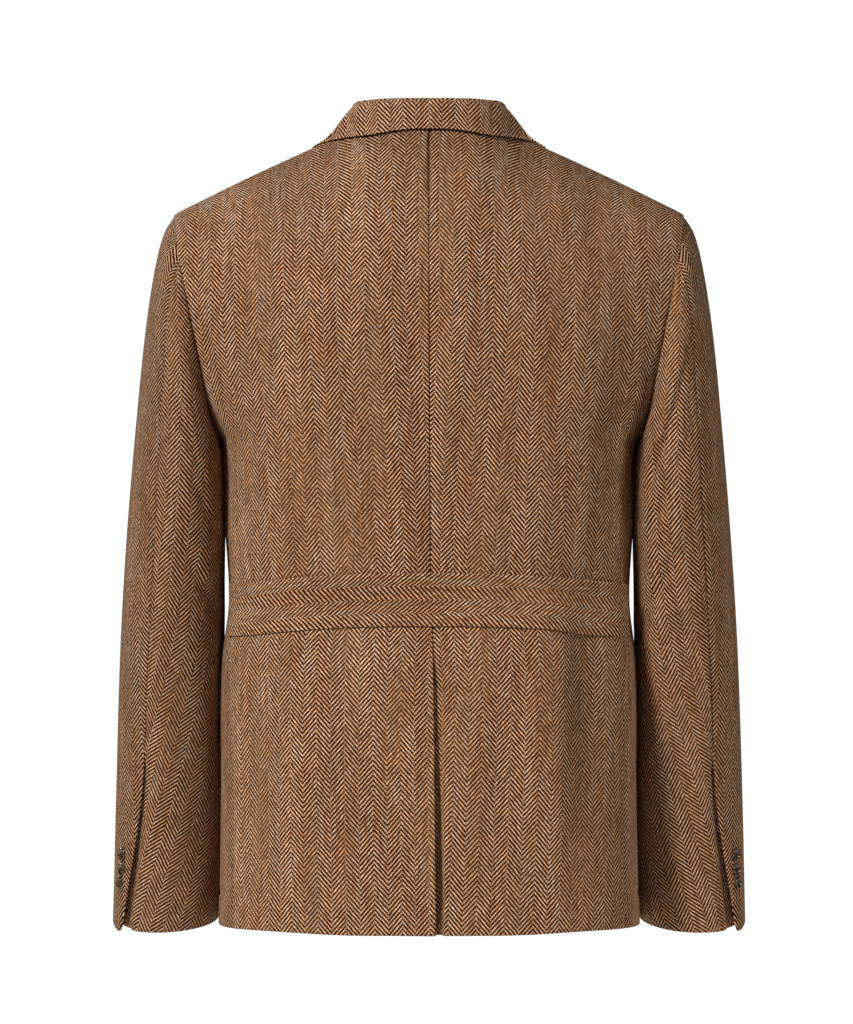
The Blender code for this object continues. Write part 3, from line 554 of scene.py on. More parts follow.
def near_edge(grid, edge, reach):
    """1 along one edge of the cloth, fading to 0 past its reach."""
    return np.exp(-(edge_distance(grid, edge) / reach) ** 2)


def away_from(grid, edges, reach):
    """0 along some edges of the cloth, rising to 1 past their reach."""
    return np.prod([1.0 - near_edge(grid, edge, reach) for edge in edges], axis=0)


def weave_places(grid, normals, anchor_column, anchor_u):
    """Places of grid points on the uncut cloth: round the body, and up it from the first row."""
    level = np.linalg.norm(normals[..., :2], axis=-1)
    upright = np.maximum(level, 0.4)
    round_it = np.stack((-normals[..., 1], normals[..., 0]), axis=-1) / upright[..., None]
    steps = np.diff(grid[..., :2], axis=1)
    u = np.sum(steps * (round_it[:, 1:] + round_it[:, :-1]) / 2, axis=-1)
    u *= np.sign(np.sum(u))
    u = summed(np.maximum(u, 0.0), 1)
    u += (anchor_u - u[:, anchor_column])[:, None]
    rise = np.diff(grid[..., 2], axis=0) / ((upright[1:] + upright[:-1]) / 2)
    return np.stack((u, grid[0, :, 2] + summed(rise, 0)), axis=-1)


def flatten(grid, guess, rounds=420, held=slice(0, 0)):
    """Lay a grid of points out flat, keeping the lengths of its edges and diagonals.

    Longer links along rows and columns keep it from folding over. Held rows stay put."""
    rows, columns = grid.shape[:2]
    links = []
    for down, right in ((0, 1), (1, 0), (1, 1), (1, -1), (0, 3), (3, 0)):
        left = max(-right, 0)
        near = (slice(0, rows - down), slice(left, columns - max(right, 0)))
        far = (slice(down, rows), slice(left + right, columns - max(right, 0) + right))
        length = np.linalg.norm(grid[far] - grid[near], axis=-1)
        weight = 1.0
        if max(down, right) > 1:
            step = np.linalg.norm(np.diff(grid, axis=0 if down else 1), axis=-1)
            length = sum(step[k:rows - 3 + k] if down else step[:, k:columns - 3 + k]
                         for k in range(3))
            weight = 0.5
        links.append((near, far, length, weight))
    flat, speed = guess.copy(), np.zeros_like(guess)
    for _ in range(rounds):
        push = np.zeros_like(flat)
        for near, far, length, weight in links:
            gap = flat[far] - flat[near]
            now = np.maximum(np.linalg.norm(gap, axis=-1), 1e-6)
            pull = gap * (weight * (now - length) / now)[..., None]
            push[near] += pull
            push[far] -= pull
        push[held] = 0.0
        speed = 0.93 * speed + 0.1 * push
        flat = flat + speed
    return flat


def settled(flat, guess, part):
    """A flattened piece turned and moved so that part of it lies as in the guess."""
    have, want = flat[part].reshape(-1, 2), guess[part].reshape(-1, 2)
    have_middle, want_middle = have.mean(axis=0), want.mean(axis=0)
    turn = np.sum((have - have_middle) @ (1.0, 1j) * np.conj((want - want_middle) @ (1.0, 1j)))
    c, s = turn.real / abs(turn), turn.imag / abs(turn)
    return (flat - have_middle) @ np.array(((c, -s), (s, c))) + want_middle


def unfolded(grid, guess, part, lap):
    """Grid laid flat and aligned on part of it; the first columns, a lap, are put on as guessed."""
    flat = guess.copy()
    flat[:, lap:] = settled(flatten(grid[:, lap:], guess[:, lap:]), guess[:, lap:], part)
    flat[:, :lap] += flat[:, [lap]] - guess[:, [lap]]
    return flat


def grid_faces(rows, columns):
    """Quads between the points of a grid."""
    first = (np.arange(rows - 1)[:, None] * columns + np.arange(columns - 1)).ravel()
    return np.stack((first, first + 1, first + columns + 1, first + columns), axis=-1)


class Cloth:
    """A cloth piece: a grid of outer points, their normals and their places on the weave."""

    def __init__(self, name, grid, inside, mirrored):
        self.name = name
        self.outer = grid
        self.inside = inside
        self.mirrored = mirrored
        self.normals = grid_normals(grid, inside)
        self.weave = np.zeros(grid.shape[:2] + (2,))
        # Factor of painted shade on the cloth's colour, 1 where none is painted
        self.tone = np.ones(grid.shape[:2])
        self.thickness = np.full(grid.shape[:2], bpy.context.scene.coat_sizes.cloth / MM)

    def press(self, out):
        """Move the cloth out by a distance at each point, and find its normals again."""
        self.outer = self.outer + self.normals * out[..., None]
        self.normals = grid_normals(self.outer, self.inside)

    def thin_edge(self, edge, share, reach):
        """Press the cloth thinner towards an edge, as at a seam."""
        self.thickness *= 1.0 - (1.0 - share) * near_edge(self.outer, edge, reach)

    def tree(self):
        """Search tree over the outer points, in the left side's place."""
        faces = grid_faces(*self.outer.shape[:2])
        return BVHTree.FromPolygons(self.outer.reshape(-1, 3).tolist(), faces.tolist())


def border_of(rows, columns):
    """Grid numbers round the border of a grid, and those of their neighbours further in."""
    border = ([(0, c) for c in range(columns)] + [(r, columns - 1) for r in range(1, rows)]
              + [(rows - 1, c) for c in range(columns - 2, -1, -1)]
              + [(r, 0) for r in range(rows - 2, 0, -1)])
    within = [(min(max(r, 1), rows - 2), min(max(c, 1), columns - 2)) for r, c in border]
    return tuple(np.array(border).T), tuple(np.array(within).T)


def shell_mesh(cloth):
    """Closed mesh of a cloth piece, rounded all round its edges, with its weave map."""
    outer, normals, weave = cloth.outer.copy(), cloth.normals, cloth.weave.copy()
    half = cloth.thickness / 2
    rows, columns = outer.shape[:2]
    border, within = border_of(rows, columns)
    out = outer[border] - outer[within]
    rim_normals = normals[border]
    out -= rim_normals * np.sum(out * rim_normals, axis=-1, keepdims=True)
    reach = np.maximum(np.linalg.norm(out, axis=-1, keepdims=True), 1e-6)
    weave_out = (weave[border] - weave[within]) / reach
    out /= reach
    rim = half[border][:, None]
    outer[border] -= out * rim
    weave[border] -= weave_out * rim
    inner = outer - normals * (2 * half)[..., None]
    points = [outer.reshape(-1, 3), inner.reshape(-1, 3)]
    # Factors of painted shade for the outer, inner and rim points, kept in the tone attribute
    painted_shade_factors = np.concatenate([cloth.tone.ravel()] * 2 + [cloth.tone[border]] * len(RIM_TURNS))
    places = [weave.reshape(-1, 2), weave.reshape(-1, 2)]
    core = outer[border] - rim_normals * rim
    for turn in np.radians(RIM_TURNS):
        points.append(core + rim * (rim_normals * math.cos(turn) + out * math.sin(turn)))
        places.append(weave[border] + weave_out * rim * turn)
    count, ring_size = rows * columns, len(border[0])
    quads = grid_faces(rows, columns)
    faces = [quads, quads[:, ::-1] + count]
    on_outer = border[0] * columns + border[1]
    loops = [on_outer]
    loops += [2 * count + k * ring_size + np.arange(ring_size) for k in range(len(RIM_TURNS))]
    loops.append(on_outer + count)
    for near, far in zip(loops, loops[1:]):
        faces.append(np.stack((np.roll(near, -1), near, far, np.roll(far, -1)), axis=-1))
    faces = np.concatenate(faces)
    points, places = np.concatenate(points), np.concatenate(places)
    facing = np.cross(outer[1, 0] - outer[0, 0], outer[0, 1] - outer[0, 0])
    if np.dot(facing, normals[0, 0]) > 0:
        faces = faces[:, ::-1]
    points[:, 2] -= SHOULDER_LINE
    if cloth.mirrored:
        points, faces = points * MIRROR, faces[:, ::-1]
        places = places * (-1.0, 1.0)
    mesh = bpy.data.meshes.new(cloth.name)
    mesh.from_pydata((points * MM).tolist(), [], faces.tolist())
    mesh.shade_smooth()
    mesh.attributes.new("tone", "FLOAT", "POINT").data.foreach_set("value", painted_shade_factors)
    weave_map = mesh.uv_layers.new(name="weave")
    weave_map.data.foreach_set("uv", (places[faces.ravel()] * MM).ravel())
    return mesh


def add_piece(name, mesh, material, slot, *nodes):
    """Put a finished mesh in the scene as a piece of the coat that stands for its nodes."""
    mesh.materials.clear()
    mesh.materials.append(material)
    piece = bpy.data.objects.new(name, mesh)
    bpy.context.scene.collection.objects.link(piece)
    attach(piece, "root")
    if nodes:
        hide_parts(*nodes)
    return piece


def add_cloth(cloth):
    piece = add_piece(cloth.name + "_cloth", shell_mesh(cloth), tweed(), "tweed", cloth.name)


def to_linear(colour):
    """Linear colour with alpha from an sRGB hex value."""
    parts = [int(colour[i:i + 2], 16) / 255 for i in (1, 3, 5)]
    return [p / 12.92 if p <= 0.04045 else ((p + 0.055) / 1.055) ** 2.4 for p in parts] + [1.0]


def add(tree, kind, inputs=(), **settings):
    """Add a node with its settings; its inputs are values, or nodes or sockets to link from."""
    made = tree.nodes.new(kind)
    for name, value in settings.items():
        setattr(made, name, value)
    for place, value in dict(inputs if isinstance(inputs, dict) else enumerate(inputs)).items():
        if isinstance(value, bpy.types.Node):
            value = value.outputs[0]
        if isinstance(value, bpy.types.NodeSocket):
            tree.links.new(value, made.inputs[place])
        elif value is not None:
            made.inputs[place].default_value = value
    return made


def new_material(name):
    """Empty node material and its tree."""
    material = bpy.data.materials.new(name)
    material.use_nodes = True
    material.node_tree.nodes.clear()
    return material, material.node_tree


# Factors for red, green, blue and alpha of the more and the less reddish yarns
DYE_TINTS = ((0.99, 0.915, 0.83, 1.0), (1.06, 1.085, 1.06, 1.0))


# Wool tweed, woven in a herringbone twill and lightly milled: pale tan floats over dark brown
# ones in slanting lines that turn at each rib, both flecked with gold and rust, with a soft nap.
@lru_cache(None)
def tweed():
    """Material of the cloth. The yarns are drawn about twice as thick as real ones, to show."""
    weave, colours = bpy.context.scene.coat_weave, bpy.context.scene.coat_colours
    material, tree = new_material("wool_herringbone_tweed")
    spot = add(tree, "ShaderNodeUVMap", uv_map="weave")
    parts = add(tree, "ShaderNodeSeparateXYZ", (spot,))
    u, v = parts.outputs[0], parts.outputs[1]
    end_at = add(tree, "ShaderNodeMath", (u, weave.yarn), operation="DIVIDE")
    end = add(tree, "ShaderNodeMath", (end_at,), operation="FLOOR")
    within = add(tree, "ShaderNodeMath", (end_at,), operation="FRACT")
    end_u = add(tree, "ShaderNodeMath", (end, weave.yarn, weave.yarn / 2),
                operation="MULTIPLY_ADD")
    stepped = add(tree, "ShaderNodeMix", {0: weave.steps, 2: u, 3: end_u}, data_type="FLOAT")
    rib = add(tree, "ShaderNodeMath", (stepped, weave.rib), operation="PINGPONG")
    climb = add(tree, "ShaderNodeMath", (rib, weave.slope, v), operation="MULTIPLY_ADD")
    loose = add(tree, "ShaderNodeTexNoise", {"Vector": spot, "Scale": 220.0, "Detail": 1.0},
                noise_dimensions="2D")
    uneven = add(tree, "ShaderNodeMath", (loose, 0.0011, climb), operation="MULTIPLY_ADD")
    side = add(tree, "ShaderNodeMath", (stepped, weave.rib), operation="DIVIDE")
    side = add(tree, "ShaderNodeMath", (side,), operation="FLOOR")
    odd = add(tree, "ShaderNodeMath", (side, 1.0), operation="PINGPONG")
    turn = add(tree, "ShaderNodeMath", (uneven, weave.pitch), operation="DIVIDE")
    turn = add(tree, "ShaderNodeMath", (odd, 0.5, turn), operation="MULTIPLY_ADD")
    line = add(tree, "ShaderNodeMath", (turn, 0.5), operation="PINGPONG")
    whole = add(tree, "ShaderNodeMath", (turn,), operation="FLOOR")
    ways = {}
    for name, x, x_scale, y, y_scale in (
            ("floats", u, 300.0, whole, 7.37), ("ends", end, 0.731, v, 26.0),
            ("across", u, 55.0, v, 610.0), ("streaks", u, 42.0, v, 5.0)):
        ways[name] = add(tree, "ShaderNodeCombineXYZ",
                         (add(tree, "ShaderNodeMath", (x, x_scale), operation="MULTIPLY"),
                          add(tree, "ShaderNodeMath", (y, y_scale), operation="MULTIPLY")))
    noise = {}
    for name, way, scale, detail, roughness in (
            ("bead", "floats", 1.0, 1.0, 0.5), ("fleck", "ends", 1.0, 2.0, 0.65),
            ("slub", "across", 1.0, 2.0, 0.5), ("streak", "streaks", 1.0, 3.0, 0.5),
            ("nap", "streaks", 0.8, 1.0, 0.5), ("dye", "streaks", 1.3, 2.0, 0.5)):
        noise[name] = add(tree, "ShaderNodeTexNoise",
                          {"Vector": ways[way], "Scale": scale, "Detail": detail,
                           "Roughness": roughness}, noise_dimensions="2D")
    bead = add(tree, "ShaderNodeMapRange", {0: noise["bead"], 1: 0.25, 2: 0.75,
                                            3: 1.0 - weave.beads, 4: 1.0 + weave.beads})
    middle, soft = weave.dark_share, weave.soft
    light = add(tree, "ShaderNodeMapRange", {0: line, 1: middle - soft, 2: middle + soft},
                interpolation_type="SMOOTHSTEP")
    out_of_dark = add(tree, "ShaderNodeMapRange", {0: line, 1: middle - soft, 2: middle})
    into_pale = add(tree, "ShaderNodeMapRange", {0: line, 1: middle, 2: middle + soft})
    crown = add(tree, "ShaderNodeMath", (within, 0.5), operation="PINGPONG")
    round_yarn = add(tree, "ShaderNodeMapRange", {0: crown, 2: 0.5, 3: 1.0 - weave.yarn_shade},
                     interpolation_type="SMOOTHSTEP")
    pale = add(tree, "ShaderNodeValToRGB", (noise["fleck"],))
    for element, (place, colour) in zip(
            [pale.color_ramp.elements[0], pale.color_ramp.elements[1],
             pale.color_ramp.elements.new(0.5)],
            ((0.33, colours.rust), (0.68, colours.gold), (0.5, colours.tan))):
        element.position, element.color = place, to_linear(colour)
    deep = add(tree, "ShaderNodeMix", {0: noise["slub"], 6: to_linear(colours.dark),
                                       7: to_linear(colours.brown)}, data_type="RGBA")
    # Painted shade: pale yarn turns deeper brown where its float dips under a dark one
    edges = add(tree, "ShaderNodeMix", {0: out_of_dark, 6: deep.outputs[2],
                                        7: to_linear(colours.edge)}, data_type="RGBA")
    yarns = add(tree, "ShaderNodeMix", {0: into_pale, 6: edges.outputs[2], 7: pale},
                data_type="RGBA")
    raised = add(tree, "ShaderNodeMapRange", {0: noise["nap"], 1: 0.46, 2: 0.74, 4: weave.nap})
    worn = add(tree, "ShaderNodeMix", {0: raised, 6: yarns.outputs[2],
                                       7: to_linear(colours.worn)}, data_type="RGBA")
    batch = add(tree, "ShaderNodeMapRange", {0: noise["dye"], 1: 0.32, 2: 0.68})
    tint = add(tree, "ShaderNodeMix", {0: batch, 6: DYE_TINTS[0], 7: DYE_TINTS[1]},
               data_type="RGBA")
    yarns = add(tree, "ShaderNodeMix", {0: 1.0, 6: worn.outputs[2], 7: tint.outputs[2]},
                data_type="RGBA", blend_type="MULTIPLY")
    shade = add(tree, "ShaderNodeMapRange", {0: noise["streak"], 1: 0.3, 2: 0.7, 3: 0.9, 4: 1.12})
    # The tone attribute brings in each piece's painted shade, which darkens the cloth's colour
    tone = add(tree, "ShaderNodeAttribute", attribute_name="tone").outputs["Fac"]
    for part in (tone, bead, round_yarn):
        shade = add(tree, "ShaderNodeMath", (shade, part), operation="MULTIPLY")
    cloth = add(tree, "ShaderNodeMix", {0: 1.0, 6: yarns.outputs[2], 7: shade}, data_type="RGBA",
                blend_type="MULTIPLY")
    height = add(tree, "ShaderNodeMath", (light, round_yarn), operation="MULTIPLY")
    bump = add(tree, "ShaderNodeBump", {"Strength": 0.55, "Distance": 0.0007, "Height": height})
    shader = add(tree, "ShaderNodeBsdfPrincipled", {
        "Base Color": cloth.outputs[2], "Roughness": 0.9, "Specular IOR Level": 0.04,
        "Sheen Weight": 0.06, "Sheen Roughness": 0.45, "Sheen Tint": to_linear(colours.nap),
        "Normal": bump})
    add(tree, "ShaderNodeOutputMaterial", (shader,))
    return material


# Polished buffalo horn, turned on a lathe: nearly black brown with paler clouded streaks under
# a clear polish.
@lru_cache(None)
def horn():
    """Material of the buttons."""
    colours = bpy.context.scene.coat_colours
    material, tree = new_material("polished_dark_horn")
    spot = add(tree, "ShaderNodeTexCoord")
    drawn = add(tree, "ShaderNodeMapping", {"Vector": spot.outputs["Object"],
                                            "Scale": (160.0, 160.0, 420.0)})
    cloud = add(tree, "ShaderNodeTexNoise", {"Vector": drawn, "Scale": 1.0, "Detail": 5.0,
                                             "Distortion": 1.2})
    clear = add(tree, "ShaderNodeMapRange", {0: cloud, 1: 0.42, 2: 0.72})
    colour = add(tree, "ShaderNodeMix", {0: clear, 6: to_linear(colours.horn),
                                         7: to_linear(colours.horn_pale)}, data_type="RGBA")
    wear = add(tree, "ShaderNodeMapRange", {0: cloud, 3: 0.12, 4: 0.3})
    shader = add(tree, "ShaderNodeBsdfPrincipled", {
        "Base Color": colour.outputs[2], "Roughness": wear, "Coat Weight": 0.6,
        "Coat Roughness": 0.06})
    add(tree, "ShaderNodeOutputMaterial", (shader,))
    return material


# Twisted silk-and-cotton sewing thread, dyed to the cloth: two plies that catch the light.
@lru_cache(None)
def thread():
    """Material of the stitches."""
    colours = bpy.context.scene.coat_colours
    material, tree = new_material("brown_sewing_thread")
    spot = add(tree, "ShaderNodeTexCoord")
    ply = add(tree, "ShaderNodeTexNoise", {"Vector": spot.outputs["Object"], "Scale": 900.0})
    colour = add(tree, "ShaderNodeMix", {0: ply, 6: to_linear(colours.brown),
                                         7: to_linear(colours.thread)}, data_type="RGBA")
    shader = add(tree, "ShaderNodeBsdfPrincipled", {
        "Base Color": colour.outputs[2], "Roughness": 0.6, "Sheen Weight": 0.2})
    add(tree, "ShaderNodeOutputMaterial", (shader,))
    return material


def side_name(is_left):
    """Word for a side of the coat."""
    return "left" if is_left else "right"


def body_levels():
    """Levels of the body's rows, from the hem to the shoulder seam."""
    return np.concatenate((np.linspace(0.0, 1.0, ROWS_BELOW, endpoint=False),
                           np.linspace(1.0, 2.0, ROWS_ABOVE + 1)))


def body_axis(grid):
    """Point inside the body for each grid point, at the same height."""
    axis = np.zeros_like(grid)
    axis[..., 2] = np.minimum(grid[..., 2], CHEST_HEIGHT)
    return axis


def hem_out(height):
    """The turned-up hem stands out a little, and its hand stitches draw the cloth in."""
    drawn_in = 0.8 * np.exp(-((height - HEM_EDGE) / 2.4) ** 2)
    return 0.5 * (1.0 - ease(HEM_EDGE - 6.0, HEM_EDGE, height)) - drawn_in


def press_panel(cloth, out):
    """Press a back or front by out, and draw in its side, armhole and shoulder seams."""
    for edge, depth in PANEL_SEAMS:
        out = out - depth * near_edge(cloth.outer, edge, SEAM_SPREAD)
    cloth.press(out)
    for edge, _ in PANEL_SEAMS:
        cloth.thin_edge(edge, SEAM_THIN, SEAM_THIN_REACH)


def body_weave(grid, normals, lap=0):
    """Places of a back or front on the uncut cloth, its ribs upright in the middle of the coat.

    The upper ribs stay upright too, as cloth does that is shrunk and eased to shape."""
    z = grid[..., 2]
    heights = np.mean(z, axis=1)
    flat = unfolded(grid, weave_places(grid, normals, 0, grid[:, 0, 0]), heights < ARMPIT, lap)
    row = np.argmin(np.abs(heights - UPRIGHT_FROM))
    x, u = grid[row, :, 0], flat[row, :, 0]
    steps = np.minimum(np.diff(u) / np.diff(x), STEEPEST)
    eased = u[0] + summed(steps * np.diff(x), 0)
    past = 100.0
    straight = np.interp(grid[..., 0], (x[0] - past, *x, x[-1] + past),
                         (eased[0] - past * steps[0], *eased, eased[-1] + past * steps[-1]))
    upward = np.cross((1.0, 0.0, 0.0), normals)
    upward *= np.sign(np.mean(upward[..., 2])) / np.linalg.norm(upward, axis=-1, keepdims=True)
    climb = summed(np.sum(np.diff(grid, axis=0) * (upward[1:] + upward[:-1]) / 2, axis=-1), 0)
    climb += flat[row, :, 1] - climb[row]
    level = np.stack((straight, climb), axis=-1)
    blend = ease(UPRIGHT_FROM - UPRIGHT_FADE, UPRIGHT_FROM + UPRIGHT_FADE, z)
    return flat + (level - flat) * blend[..., None]


@lru_cache(None)
def back(is_left):
    """One back, on the left side whichever it is, with its folds, vent and pressed seams."""
    shares = np.linspace(0.0, 1.0, BODY_COLUMNS + 1) ** 1.5
    if not is_left:
        shares = np.concatenate((np.linspace(0.0, UNDER_SHARE, UNDER_COLUMNS, endpoint=False),
                                 UNDER_SHARE + (1.0 - UNDER_SHARE)
                                 * np.linspace(0.0, 1.0, BODY_COLUMNS) ** 1.5))
    grid = np.array([back_row(level, shares) for level in body_levels()])
    for row in grid:
        height = row[0, 2]
        drift = along(DRIFT, "x", height) * (1.0 if is_left else -1.0)
        row[:, 0] += drift * (1.0 - ease(0.0, DRIFT_FADE, row[:, 0]))
        for fold in BACK_FOLDS:
            if fold.is_left == is_left:
                share = (trough((row[:, 0] - fold.x) / fold.half_width)
                         * trough((row[:, 2] - fold.height) / fold.half_height))
                row[:, 1] -= fold.depth * share * (1.0 - ease(0.9, 1.0, shares))
        low = 1.0 - ease(HEM, VENT_TOP, height)
        if is_left:
            row[:, 1] += VENT_SPRING * low * (1.0 - ease(*VENT_SPRING_FADE, row[:, 0]))
            continue
        dip = VENT_DIP + VENT_DIP_AT_HEM * low
        dip *= 1.0 - ease(VENT_TOP + VENT_STEP, DIP_END, height)
        begin, end = (above + (below - above) * low for above, below in zip(*VENT_DIP_FADE))
        row[:, 1] -= dip * (1.0 - ease(begin, end, row[:, 0]))
        reach = SEAM_ALLOWANCE + (UNDERLAP - SEAM_ALLOWANCE) * (
            1.0 - ease(VENT_TOP, VENT_TOP + VENT_STEP, height))
        row[:UNDER_COLUMNS, 0] = np.linspace(-reach, row[UNDER_COLUMNS, 0], UNDER_COLUMNS,
                                             endpoint=False)
    name = "back_" + side_name(is_left)
    cloth = Cloth(name, grid, body_axis(grid), not is_left)
    cloth.weave = body_weave(grid, cloth.normals, 0 if is_left else UNDER_COLUMNS)
    x, height = grid[..., 0], grid[..., 2]
    inner = away_from(grid, ("last_column", "last_row"), 14.0)
    out = crease_depth(CREASES[name], x, height) * inner
    # Painted shade: the cloth's colour drawn darker in the hollows of the creases and along the
    # shoulder seam, where shade falls
    cloth.tone -= HOLLOW_PAINTED_SHADE * np.clip(-out, 0.0, 8.0)
    cloth.tone -= SHOULDER_PAINTED_SHADE * near_edge(grid, "last_row", 36.0)
    waves = BACK_WAVES * unevenness(x, height, 1.0 + is_left)
    out += waves * inner * ease(3.0, 30.0, np.abs(x))
    out += hem_out(height)
    seam = ease(VENT_TOP, VENT_TOP + 30.0, height)
    if is_left:
        out -= CENTRE_SEAM * seam * near_edge(grid, "first_column", CENTRE_SEAM_SPREAD)
    else:
        from_seam = x + np.array([along(DRIFT, "x", row[0]) for row in height])[:, None]
        out -= seam * (ALLOWANCE_STEP * (1.0 - ease(-0.6, 1.6, from_seam))
                       - ALLOWANCE_LIFT * (1.0 - ease(-8.0, -3.0, from_seam))
                       + CENTRE_SEAM * np.exp(-(from_seam / CENTRE_SEAM_SPREAD) ** 2))
    press_panel(cloth, out)
    return cloth


def front_shares():
    """Columns of a front, close together at its edges."""
    t = np.linspace(0.0, 1.0, BODY_COLUMNS + 1)
    return t + 0.04 * np.sin(2 * np.pi * t)


@lru_cache(None)
def front(is_left):
    """One front, on the left side whichever it is."""
    grid = np.array([front_row(level, front_shares()) for level in body_levels()])
    if is_left:
        for row in grid:
            near = 1.0 - ease(*LAP_FADE, row[:, 0])
            row[:, 1] -= along(LAP, "out", row[0, 2]) * near * (row[:, 1] < 0)
    name = "front_" + side_name(is_left)
    cloth = Cloth(name, grid, body_axis(grid), not is_left)
    cloth.weave = body_weave(grid, cloth.normals)
    # Painted shade on the left front's side, towards its back, where less light falls
    cloth.tone -= SIDE_PAINTED_SHADE * is_left * ease(-40.0, 10.0, grid[..., 1])
    x, height = grid[..., 0], grid[..., 2]
    inner = away_from(grid, ("last_column", "last_row", "first_column"), 16.0)
    out = crease_depth(CREASES[name], x, height) * inner * (grid[..., 1] < 0)
    out += FRONT_WAVES * unevenness(x, height, 4.0 + is_left) * inner + hem_out(height)
    press_panel(cloth, out)
    return cloth


def sleeve_turns(down, is_top):
    """Angles round a sleeve piece; in the vent the under sleeve runs on under the top one."""
    behind, ahead = along(SLEEVE, "back_seam", down), along(SLEEVE, "front_seam", down)
    if is_top:
        return np.linspace(ahead, behind, SLEEVE_COLUMNS + 1)
    t = np.linspace(0.0, 1.0, UNDER_COLUMNS, endpoint=False)
    lap = SLEEVE_LAP + CUFF_UNDERLAP * ease(*CUFF_VENT, down)
    under = behind + SLEEVE_LAP_TURN * t - lap * (1.0 - t)
    rest = np.linspace(behind + SLEEVE_LAP_TURN, ahead + 360.0,
                       SLEEVE_COLUMNS + 1 - UNDER_COLUMNS)
    return np.concatenate((under, rest))


def sleeve_weave(grid, is_top):
    """Places of a sleeve on the uncut cloth: its ribs run straight on where the arm bends."""
    z = grid[..., 2]

    def at(column, *heights):
        places = [sum(getattr(row, height) for height in heights) / len(heights) for row in SLEEVE]
        return np.interp(z, places[::-1], [getattr(row, column) for row in SLEEVE[::-1]])

    outer_x, inner_x = at("outer_x", "outer_z"), at("inner_x", "inner_z")
    across = at("depth", "outer_z", "inner_z")
    behind = grid[..., 1] - at("middle_y", "outer_z", "inner_z")
    half = (outer_x - inner_x) / 2
    turn = np.arctan2(behind / across, (grid[..., 0] - (outer_x + inner_x) / 2) / half)
    if not is_top:
        turn = turn % (2 * np.pi)
    start = 0.0 if is_top else np.pi / 2
    u = np.zeros_like(turn)
    slices = 32
    for k in range(slices):
        part = start + (turn - start) * (k + 0.5) / slices
        u += np.hypot(half * np.sin(part), across * np.cos(part)) * (turn - start) / slices
    guess = np.stack((u, z), axis=-1)
    upper = np.mean(z, axis=1) > 300.0
    lap = 0 if is_top else UNDER_COLUMNS
    flat = guess.copy()
    flat[1:] = unfolded(grid[1:], guess[1:], upper[1:], lap)
    flat[0] = 2 * flat[1] - flat[2]
    flat[:5] = flatten(grid[:5], flat[:5], 200, slice(1, None))
    if not is_top:
        past = np.maximum(GRAIN_TURN[0] - z, 0.0) / (GRAIN_TURN[0] - GRAIN_TURN[1])
        lean = GRAIN_LEAN * np.minimum(past, 1.0)
        drift = GRAIN_LEAN * np.where(past < 1.0, past ** 2 / 2, past - 0.5)
        flat[..., 1] += lean * flat[..., 0]
        flat[..., 0] += drift * (GRAIN_TURN[0] - GRAIN_TURN[1])
    return flat


